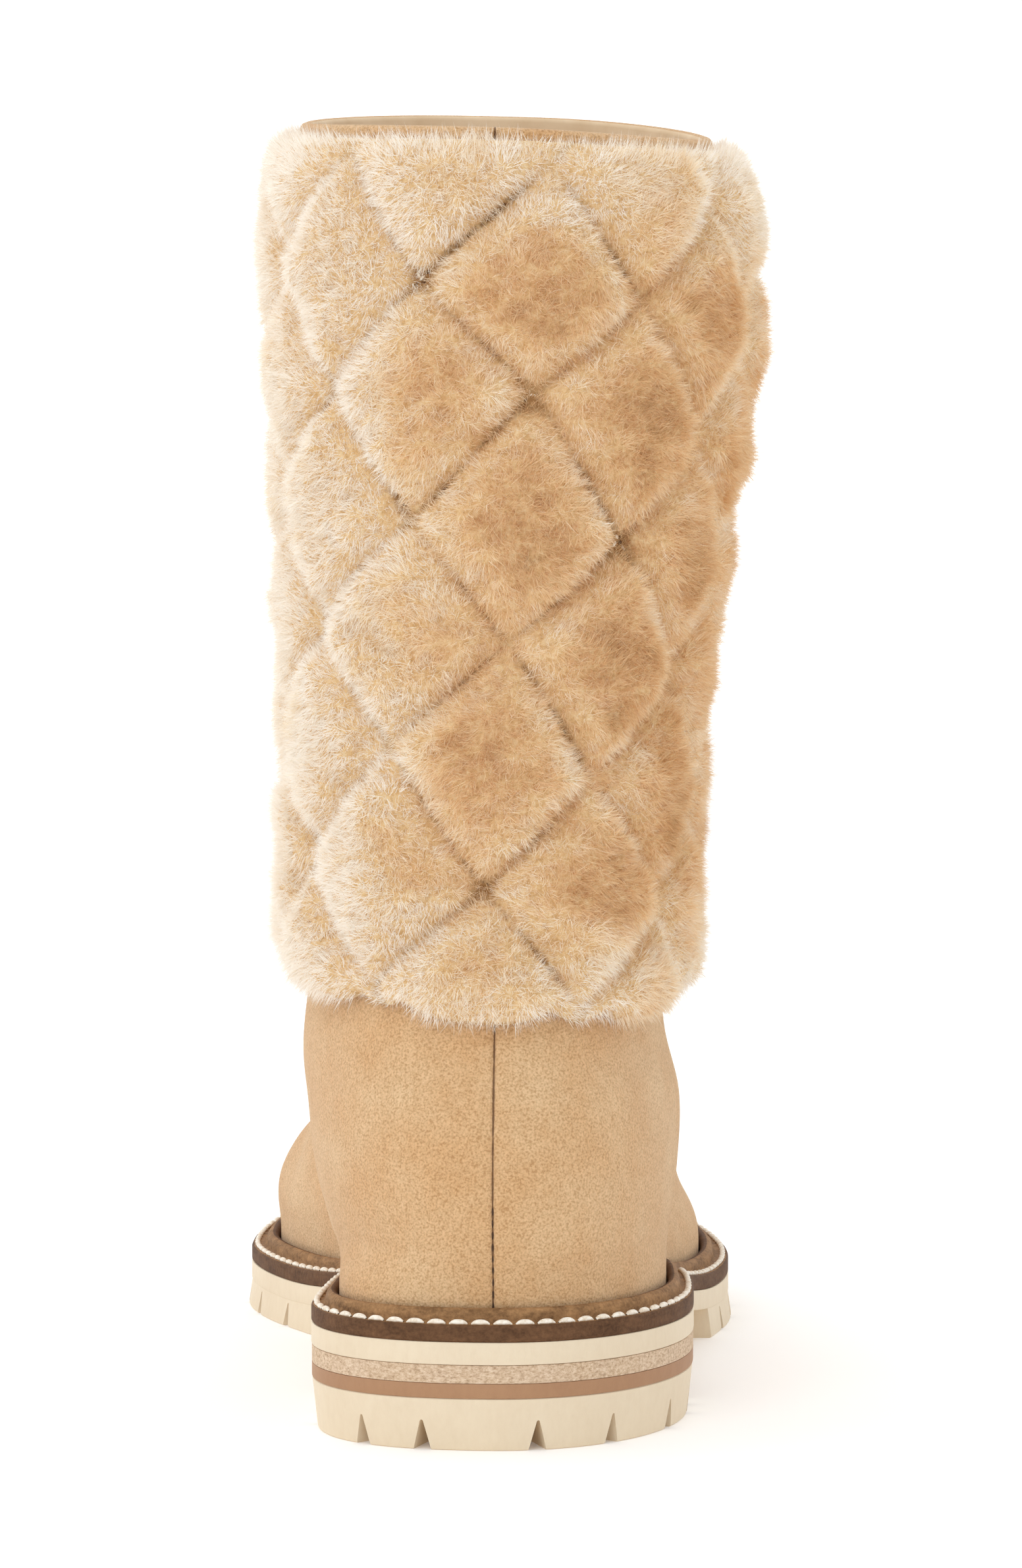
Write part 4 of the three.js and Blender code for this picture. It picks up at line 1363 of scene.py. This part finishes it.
# Where the sewing wandered: a place as (around, z), and how far each family's seam lies off it there.
SEAM_WANDER = [
    (7, 193, -2.0, -0.7), (-13, 215, 2.1, -0.5), (-14, 171, 0.0, 1.2), (-18, 129, -1.0, -0.7),
    (26, 211, 0.0, 0.4), (23, 167, -0.3, 0.6), (16, 123, 1.7, -1.2), (2, 148, -0.6, 0.0),
    (-2, 102, 0.0, 0.9),
]
WANDER_REACH = 14


def smooth_noise(x, y, size, seed):
    """Soft noise from -1 to 1 at places in the plane, from a few waves in seeded directions."""
    draw = np.random.default_rng(seed)
    total = np.zeros(np.shape(x))
    for _ in range(9):
        angle, phase = draw.uniform(0, 2 * math.pi, 2)
        wave = 2 * math.pi / (size * draw.uniform(0.7, 1.6))
        total += np.sin((x * math.cos(angle) + y * math.sin(angle)) * wave + phase)
    return total / 4.5


def seam_value(family, around, z):
    """Distance from the crossing square to a family of seams. Each whole spacing is the next seam."""
    slope = math.radians(QUILT_SEAMS[family][0])
    value = (z - QUILT_CROSSING[1]) * math.cos(slope) - (around - QUILT_CROSSING[0]) * math.sin(slope)
    for wander_around, wander_z, *shift in SEAM_WANDER:
        near = ((around - wander_around) ** 2 + (z - wander_z) ** 2) / WANDER_REACH**2
        value = value + shift[family] * np.exp(-near)
    return value


def seam_distance(family, around, z):
    spacing = QUILT_SEAMS[family][1]
    turns = seam_value(family, around, z) / spacing
    return np.abs(turns - np.round(turns)) * spacing


print("the seams' spacings:", [spacing for _, spacing in QUILT_SEAMS], "mm")

# %% [markdown]
# Between the seams the pile swells into pillows with ragged shoulders. Over a seam it is either parted down
# to the thread, or closed, when only a shallow valley shows.

# %% Partings and pillows
# Where the pile parts and shows the seam: a place as (around, z), and how far it lies open.
PARTINGS = [
    (1, 228, 6), (-7, 221, 6), (-12, 216, 3), (-2, 197, 5), (2, 194, 4), (6, 191, 4),
    (2, 186, 5), (-9, 177, 4), (15, 178, 5), (18, 173, 4), (22, 166, 5), (22, 219, 5),
    (35, 196, 5), (-17, 174, 3), (-11, 152, 6), (-4, 148, 5), (3, 141, 4), (11, 132, 5),
    (-14, 113, 6), (-7, 104, 5), (-3, 102, 4), (14, 111, 3), (9, 92, 4), (40, 160, 3),
]


def openness(around, z):
    """How far the pile parts over a seam, from 0 to 1. Away from the back it is left to chance."""
    parted = np.zeros(np.shape(z))
    for parted_around, parted_z, reach in PARTINGS:
        away = (around - parted_around) ** 2 + (z - parted_z) ** 2
        parted = np.maximum(parted, np.exp(-away / reach**2))
    chance = np.clip(0.65 + 0.75 * smooth_noise(around, z, 24, 51), 0, 1) * ease(np.abs(around - 5), 28, 46)
    return np.maximum(parted, chance)


def crown(around, z, from_join):
    """How far up a pillow a place is: 0 in an open seam, 1 on the pillow's top. The edges are ragged."""
    ragged = 1 + 0.22 * smooth_noise(around, z, 8, 13) + 0.12 * smooth_noise(around, z, 3.5, 14)
    shoulder = PILLOW_SHOULDER * ragged
    rise = 1.0
    for distance in (seam_distance(0, around, z), seam_distance(1, around, z), from_join):
        rise = rise * (1 - np.clip(1 - distance / shoulder, 0, 1) ** SHOULDER_POWER)
    closed = (1 - openness(around, z)) * (0.8 + 0.4 * smooth_noise(around, z, 12, 16))
    return rise + (1 - rise) * CLOSED_GROOVE * np.clip(closed, 0, 1)


print("quilting:", len(SEAM_WANDER), "wanderings and", len(PARTINGS), "partings")

# %% [markdown]
# The cuff, its thread and its hairs all need points on the shaft at a distance round and a height. A grid
# of the skin, evenly spaced round each ring, is worked out once and then read between its points. The
# pillows that meet the hem hang a little lower than the seams between them.

# %% The shaft's skin under the cuff
CUFF_COLUMNS, CUFF_ROWS = 300, 164


class CuffSkin:
    """The shaft's skin under the cuff, as a grid of points evenly spaced round each ring."""

    def __init__(self, columns, rows):
        fine = even_shares(1200)
        share, side = ring_places(fine)
        hem = mix(HEM_BACK, HEM_FRONT, forward(share)) - side * HEM_MEDIAL_RISE * np.sin(np.pi * share)
        top = rim_height(share, side) - CUFF_BELOW_RIM
        half = len(fine) - 1
        points, around, from_join, self.girths = [], [], [], []
        for v in np.linspace(0, 1, rows):
            ring = np.stack(skin_point(share, side, mix(hem, top, v)), -1)
            closed = np.concatenate([ring, ring[:1]])
            lengths = lengths_along(closed[:, :2])
            girth = lengths[-1]
            at = np.linspace(0, girth, columns, endpoint=False)
            points.append(points_at(at, lengths, closed))
            join = girth - (girth - lengths[half]) * JOIN_SHARE
            around.append(np.where(at <= join, at, at - girth))
            from_join.append(np.abs(at - join))
            self.girths.append(girth)
        self.points, self.around = np.stack(points), np.stack(around)
        self.from_join, self.girths = np.stack(from_join), np.array(self.girths)
        self.rows, self.columns = rows, columns
        level = np.linspace(0, 1, rows)[:, None]
        pillow = crown(self.around[:1], self.points[:1, :, 2] + 7, self.from_join[:1])
        self.points[..., 2] -= HEM_LOBE * (pillow - 0.2) * np.clip(1 - level / 0.25, 0, 1) ** 1.5
        self.normals = skin_normals(self.points)

    def at(self, u, v, values):
        """A grid of values read at places u round the ring and v up the cuff, both from 0 to 1."""
        x, y = (u % 1) * self.columns, np.clip(v, 0, 1) * (self.rows - 1)
        x0, y0 = np.floor(x).astype(int), np.minimum(np.floor(y).astype(int), self.rows - 2)
        fx, fy = x - x0, y - y0
        x0, x1 = x0 % self.columns, (x0 + 1) % self.columns
        if values.ndim == 3:
            fx, fy = fx[..., None], fy[..., None]
        low = mix(values[y0, x0], values[y0, x1], fx)
        high = mix(values[y0 + 1, x0], values[y0 + 1, x1], fx)
        return mix(low, high, fy)

    def find(self, around, z):
        """The u and v of places given by their distance round the shaft and their height."""
        v = np.full(np.shape(z), 0.5)
        for _ in range(3):
            u = around / np.interp(v, np.linspace(0, 1, self.rows), self.girths)
            hem = self.at(u, np.zeros_like(v), self.points[..., 2])
            top = self.at(u, np.ones_like(v), self.points[..., 2])
            v = (z - hem) / (top - hem)
        return u, v


skin = CuffSkin(CUFF_COLUMNS, CUFF_ROWS)
print("cuff girth in mm, at the hem and at the top:", skin.girths[[0, -1]].round(1))

# %% [markdown]
# The backing is the pile's dense underwool. It stands up in the pillows, with soft lumps on them, and
# rounds over at the hem and at the top. It carries an attribute that says how far up a pillow each point
# is, and the wool's colour reads it to paint shade into the grooves, so that they are darker.

# %% Fur backing
HEM_ROUND, TOP_ROUND = 0.045, 0.085  # shares of the cuff's height
LUMPS = [(0.8, 15, 21), (0.5, 6, 22), (0.2, 3, 23)]  # height, size and seed of each noise
TIPS_OVER_GROOVE, TIPS_OVER_PILLOW = 0.9, 1.6  # how far the hairs' tips stand above the backing
MEDIAL_FLATTENED = 0.9


def end_fall(around, v):
    """The pile rounds over at the hem and at the top: 0 at the very edge, 1 past the shoulder."""
    ragged = 1 + 0.25 * smooth_noise(around, 0 * around, 9, 15)
    near = np.clip(np.minimum(v / HEM_ROUND, (1 - v) / (TOP_ROUND * ragged)), 0, 1)
    return np.sqrt(1 - (1 - near) ** 2)


v_grid = np.linspace(0, 1, CUFF_ROWS)[:, None]
crown_grid = crown(skin.around, skin.points[..., 2], skin.from_join)
fall_grid = end_fall(skin.around, v_grid)
lumps = sum(height * smooth_noise(skin.around, skin.points[..., 2], size, seed)
            for height, size, seed in LUMPS)
pile_height = mix(PILE_GROOVE, PILE_TOP, crown_grid) + lumps * crown_grid
pile_height = pile_height - MEDIAL_FLATTENED * ease(-skin.around, 35, 60) * crown_grid
pile_height = mix(PILE_EDGE, pile_height, fall_grid)
backing_height = pile_height - mix(TIPS_OVER_GROOVE, TIPS_OVER_PILLOW, crown_grid)

backing = skin.points + skin.normals * backing_height[..., None]
under = (skin.points + skin.normals * CUFF_CLEARANCE)[::-1][::6]
rings = np.concatenate([backing, under])
faces = grid_faces(len(rings), CUFF_COLUMNS, close_rows=True)
fur_backing = new_object("fur_backing", frame_points(rings).reshape(-1, 3), faces)
up_the_pillow = fur_backing.data.attributes.new("up_the_pillow", "FLOAT", "POINT")
up_the_pillow.data.foreach_set("value", np.concatenate([crown_grid, np.ones_like(under[..., 0])]).ravel())

wool = Recipe("fur_backing_wool", 1.0, specular=0.1)
tufts = wool.ramp(wool.noise(0.0012, detail=4, roughness=0.7),
                  [(0.35, (0.66, 0.42, 0.2)), (0.5, (0.8, 0.56, 0.3)), (0.7, (0.9, 0.72, 0.46))])
# Painted shade: the wool's colour is darkened towards the bottom of the grooves.
painted_groove_shade = wool.ramp(wool.node("ShaderNodeAttribute", attribute_name="up_the_pillow").outputs["Fac"],
                      [(0.02, (0.42, 0.3, 0.2)), (0.26, (1.0, 1.0, 1.0))])
wool.colour(wool.blend(1.0, tufts, painted_groove_shade, "MULTIPLY"))
wool.bump(wool.noise(0.0009, detail=4, roughness=0.7), 0.0006)
fit_out(fur_backing, wool.material, "sheepskin", "sheepskin_cuff")

# %% [markdown]
# The quilting thread lies at the bottom of the grooves: a cream stitch, then a dark piece that paints the
# shade in the needle hole where the thread dives. The pile closes over most of it, and it shows best round
# the crossings, where four pillows leave a gap.

# %% Quilting thread
QUILT_PITCH = 3.0
THREAD_LIFT = 2.9
PARTED_ENOUGH = 0.25


def seam_lines(family, step=1.5):
    """The seams of a family, each as places (around, z) from the hem to the top."""
    slope, spacing = math.radians(QUILT_SEAMS[family][0]), QUILT_SEAMS[family][1]
    z = np.arange(HEM_BACK + 1, RIM_FRONT, step)
    lowest, highest = skin.around.min(), skin.around.max()
    for number in range(-12, 13):
        around = np.full(z.shape, QUILT_CROSSING[0])
        for _ in range(12):
            around = around + (seam_value(family, around, z) - number * spacing) / math.sin(slope)
        yield np.stack([around, z], -1)[(around > lowest) & (around < highest)]


def thread_places(line, start):
    """Places at the quilting pitch along a line of (around, z), and the way the seam runs there."""
    lengths = lengths_along(line)
    at = np.arange(start, lengths[-1], QUILT_PITCH)
    spots = [points_at(at + shift, lengths, line) for shift in (0, 0.5)]
    found = []
    for spot in spots:
        u, v = skin.find(spot[:, 0], spot[:, 1])
        inside = (v > 0.03) & (v < 0.96) & (openness(spot[:, 0], spot[:, 1]) > PARTED_ENOUGH)
        found.append((skin.at(u, v, skin.points) + skin.at(u, v, skin.normals) * THREAD_LIFT, inside))
    keep = found[0][1] & found[1][1]
    outward = skin.at(*skin.find(spots[0][:, 0], spots[0][:, 1]), skin.normals)
    return found[0][0][keep], (found[1][0] - found[0][0])[keep], outward[keep]


def quilt_stitches(name, start, length, width, height, material):
    lines = [line for family in (0, 1) for line in seam_lines(family) if len(line) > 3]
    collected = [thread_places(line, start) for line in lines]
    places, forwards, outs = (np.concatenate(column) for column in zip(*collected))
    shape, faces = stitch_shape(length * MM, width * MM, height * MM, rings=5, sides=5)
    piece = copies(name, shape, faces, frame_points(places), frame_normals(forwards), frame_normals(outs))
    return fit_out(piece, material, "sheepskin")


quilt_stitches("quilt_stitches", 0.0, 1.6, 0.6, 0.7, cream_thread)
# Painted shade: dark stitch-shaped pieces between the cream stitches stand for the shadow in the needle
# holes.
quilt_stitches("quilt_hole_shade", 1.5, 1.2, 0.8, 0.8, painted_hole_shade)

# %% [markdown]
# The hairs stand on the backing, lean with a slow swirl, and gather into small tufts at their tips. Near a
# seam they lean out over it. Their tints run from honey to cream: darker tints in the grooves as painted
# shade, the palest on the pillows' edges, where the tips lie over, as a painted highlight, and golden on
# the
# tops. Each tint is one plain material: a blade is too fine to show a pattern of its own, and the pile's
# play of colour comes from the mixture.

# %% Tints of the hairs
TINTS = [
    (0.62, 0.4, 0.2), (0.79, 0.55, 0.3), (0.88, 0.68, 0.43),
    (0.93, 0.8, 0.61), (0.95, 0.88, 0.75), (0.96, 0.925, 0.86),
]


def hair_material(index, colour):
    made = plain_material(f"fur_hair_{index}", colour, 0.8)
    inputs = made.node_tree.nodes["Principled BSDF"].inputs
    inputs["Sheen Weight"].default_value = 0.3
    inputs["Sheen Tint"].default_value = (1, 0.92, 0.78, 1)
    inputs["Specular IOR Level"].default_value = 0.1
    return made


hair_materials = [hair_material(i, colour) for i, colour in enumerate(TINTS)]
print("tints:", [made.name for made in hair_materials])

# %% [markdown]
# Wool clings together in tufts, and tufts in locks. The plane of the pile is cut into square cells, each
# with one seeded middle, and every hair's tip is drawn towards the nearest middle. The tone of a hair
# depends on how far up its pillow it stands and on where it is on the cuff. Much of that is painted light:
# painted shade in the grooves, and a painted highlight on the pillows' edges, the medial side, the top and
# the pile's rounded ends. The medial side and the hem are also paler in the fleece's own colour.

# %% Tufts and tones
TUFT, LOCK = 1.5, 4.0
TUFT_CELLS = 256

pillow_points = skin.points + skin.normals * pile_height[..., None]
pillow_normals = skin_normals(pillow_points)


def tuft_pull(around, z, size, seed):
    """For each hair, the way from it to the middle of its own tuft, and the tuft's shade from -1 to 1."""
    draw = np.random.default_rng(seed)
    offsets = draw.uniform(0.1, 0.9, (TUFT_CELLS, TUFT_CELLS, 2))
    shades = draw.uniform(-1, 1, (TUFT_CELLS, TUFT_CELLS))
    cell_x, cell_y = np.floor(around / size).astype(int), np.floor(z / size).astype(int)
    best = np.full(around.shape, 1e9)
    pull, shade = np.zeros((*around.shape, 2)), np.zeros(around.shape)
    for dx in (-1, 0, 1):
        for dy in (-1, 0, 1):
            x, y = cell_x + dx, cell_y + dy
            cell = (x % TUFT_CELLS, y % TUFT_CELLS)
            spot = (np.stack([x, y], -1) + offsets[cell]) * size
            way = spot - np.stack([around, z], -1)
            distance = (way**2).sum(-1)
            closer = distance < best
            best = np.where(closer, distance, best)
            pull = np.where(closer[..., None], way, pull)
            shade = np.where(closer, shades[cell], shade)
    return pull, shade


UP_THE_PILLOW = [0.0, 0.2, 0.4, 0.65, 0.85, 1.0]
TONE_AND_PAINTED_LIGHT_THERE = [1.4, 2.0, 2.6, 3.2, 2.7, 1.8]


def hair_tone_and_painted_light(around, z, high, fall):
    """Which tint a hair takes, from 0 for honey to 5 for cream, before its own luck. It carries painted
    shade in the grooves and painted highlights on the pillows' edges, the medial side, the top and the
    rounded ends.
    """
    # Painted shade deep in the grooves, and a painted highlight on the pillows' edges.
    tone = np.interp(high, UP_THE_PILLOW, TONE_AND_PAINTED_LIGHT_THERE)
    # Paler on the medial side: partly painted light from that side, partly the fleece's own paler colour.
    tone = tone + 3.4 * ease(-around, 2, 26) * (1 - 0.5 * ease(-around, 58, 84)) - 0.5 * ease(around, 6, 30)
    tone = tone + 0.9 * ease(around, 36, 70) + 1.2 * ease(around, 120, 170)
    # Paler towards the top, as painted light from above, and paler towards the hem.
    tone = tone + 2.3 * ease(z, 208, 236) + 1.9 * (1 - ease(z, 82, 106))
    tone = tone + 0.5 * smooth_noise(around, z, 26, 41) + 0.35 * smooth_noise(around, z, 10, 42)
    # Paler where the pile rounds over at its ends: a painted rim highlight.
    return tone + 0.5 * (1 - fall)


tones = hair_tone_and_painted_light(skin.around, skin.points[..., 2], crown_grid, fall_grid)
print("tones run from", tones.min().round(1), "to", tones.max().round(1))

# %% [markdown]
# Hairs are strewn over the cuff by chance. Where the pile is parted, most of those that would stand right
# on the seam are left out, and the thread shows through.

# %% Where the hairs stand
PARTED_HALF, PARTED_THINNING = 0.6, 0.6


def strewn(draw, count):
    """Places for hairs, as u and v on the cuff's skin, and their distance round and height."""
    u, v = draw.random(count * 2), draw.random(count * 2)
    around, z = skin.at(u, v, skin.around), skin.at(u, v, skin.points[..., 2])
    from_seams = np.stack([seam_distance(0, around, z), seam_distance(1, around, z)]).min(0)
    parted = ease(openness(around, z), 0.2, 0.7) * (v > 0.07) * (v < 0.93)
    chance = np.where(from_seams < PARTED_HALF, 1 - PARTED_THINNING * parted, 1.0)
    kept = np.flatnonzero(draw.random(count * 2) < chance)[:count]
    return u[kept], v[kept], around[kept], z[kept]


print("a sample of places:", [len(found) for found in strewn(np.random.default_rng(1), 100)])

# %% [markdown]
# Each hair is a blade: one narrow triangle from its root to its tip. Four layers are laid, each a little
# longer than the last, and each is an object of its own so that none grows too heavy.

# %% Fur hairs
PILE_LAYERS, HAIRS_PER_LAYER = 4, 168_000
HAIR_WIDTH, SHORTEST, LONGEST = 0.145, 1.9, 3.4
ROOT_SUNK = 0.2
FIRST_SEED = 100


def hair_lean(draw, around, z, v):
    """How far each hair leans sideways and upwards: a slow swirl, and its own luck."""
    swirl_x = 0.5 * smooth_noise(around, z, 22, 31) + 0.4 * smooth_noise(around, z, 7, 33)
    swirl_y = 0.5 * smooth_noise(around, z, 22, 32) + 0.4 * smooth_noise(around, z, 7, 34)
    swirl_y = swirl_y - 0.15 + 0.7 * ease(v, 0.95, 1)
    return np.stack([swirl_x, swirl_y], -1) + draw.normal(0, 0.42, (len(v), 2))


def make_hairs(name, count, seed, longest):
    draw = np.random.default_rng(seed)
    u, v, around, z = strewn(draw, count)
    outward = skin.at(u, v, skin.normals)
    pillow = skin.at(u, v, pillow_normals)
    root = skin.at(u, v, backing) - pillow * ROOT_SUNK
    high, fall = skin.at(u, v, crown_grid), skin.at(u, v, fall_grid)
    length = longest * mix(0.55, 1, high) * draw.uniform(0.7, 1.25, count)
    sideways = unit(np.cross(np.array([0, 0, 1.0]), outward))
    upward = unit(np.cross(outward, sideways))
    lean = hair_lean(draw, around, z, v)
    way = unit(pillow + sideways * lean[:, :1] + upward * lean[:, 1:])
    small, small_shade = tuft_pull(around, z, TUFT, 76)
    large, large_shade = tuft_pull(around, z, LOCK, 77)
    pull = 0.7 * small + 0.25 * large
    tip = root + way * length[:, None] + sideways * pull[:, :1] + upward * pull[:, 1:]
    blade_side = unit(np.cross(way, draw.normal(0, 1, (count, 3))))
    blade_side = blade_side * (HAIR_WIDTH * draw.uniform(0.7, 1.2, count))[:, None]
    points = np.stack([root - blade_side / 2, root + blade_side / 2, tip], 1)
    piece = new_object(name, frame_points(points).reshape(-1, 3), np.arange(count * 3).reshape(-1, 3))
    # The tone carries painted shade in the grooves and painted highlights, plus each tuft's random tone.
    tone = hair_tone_and_painted_light(around, z, high, fall) + 0.5 * small_shade + 0.45 * large_shade
    tint = np.clip(np.round(tone + draw.normal(0, 0.36, count)), 0, len(TINTS) - 1)
    for made in hair_materials:
        piece.data.materials.append(made)
    piece.data.polygons.foreach_set("material_index", tint.astype(np.int32))
    return fit_out(piece, None, "sheepskin")


for layer in range(PILE_LAYERS):
    longest = mix(SHORTEST, LONGEST, layer / (PILE_LAYERS - 1))
    make_hairs(f"fur_pile_{layer + 1}", HAIRS_PER_LAYER, FIRST_SEED + layer, longest)

# %% [markdown]
# ## Sizes at the end
#
# The fine pieces are made to fill the same box as the construction model, give or take the pile's loose
# tips.
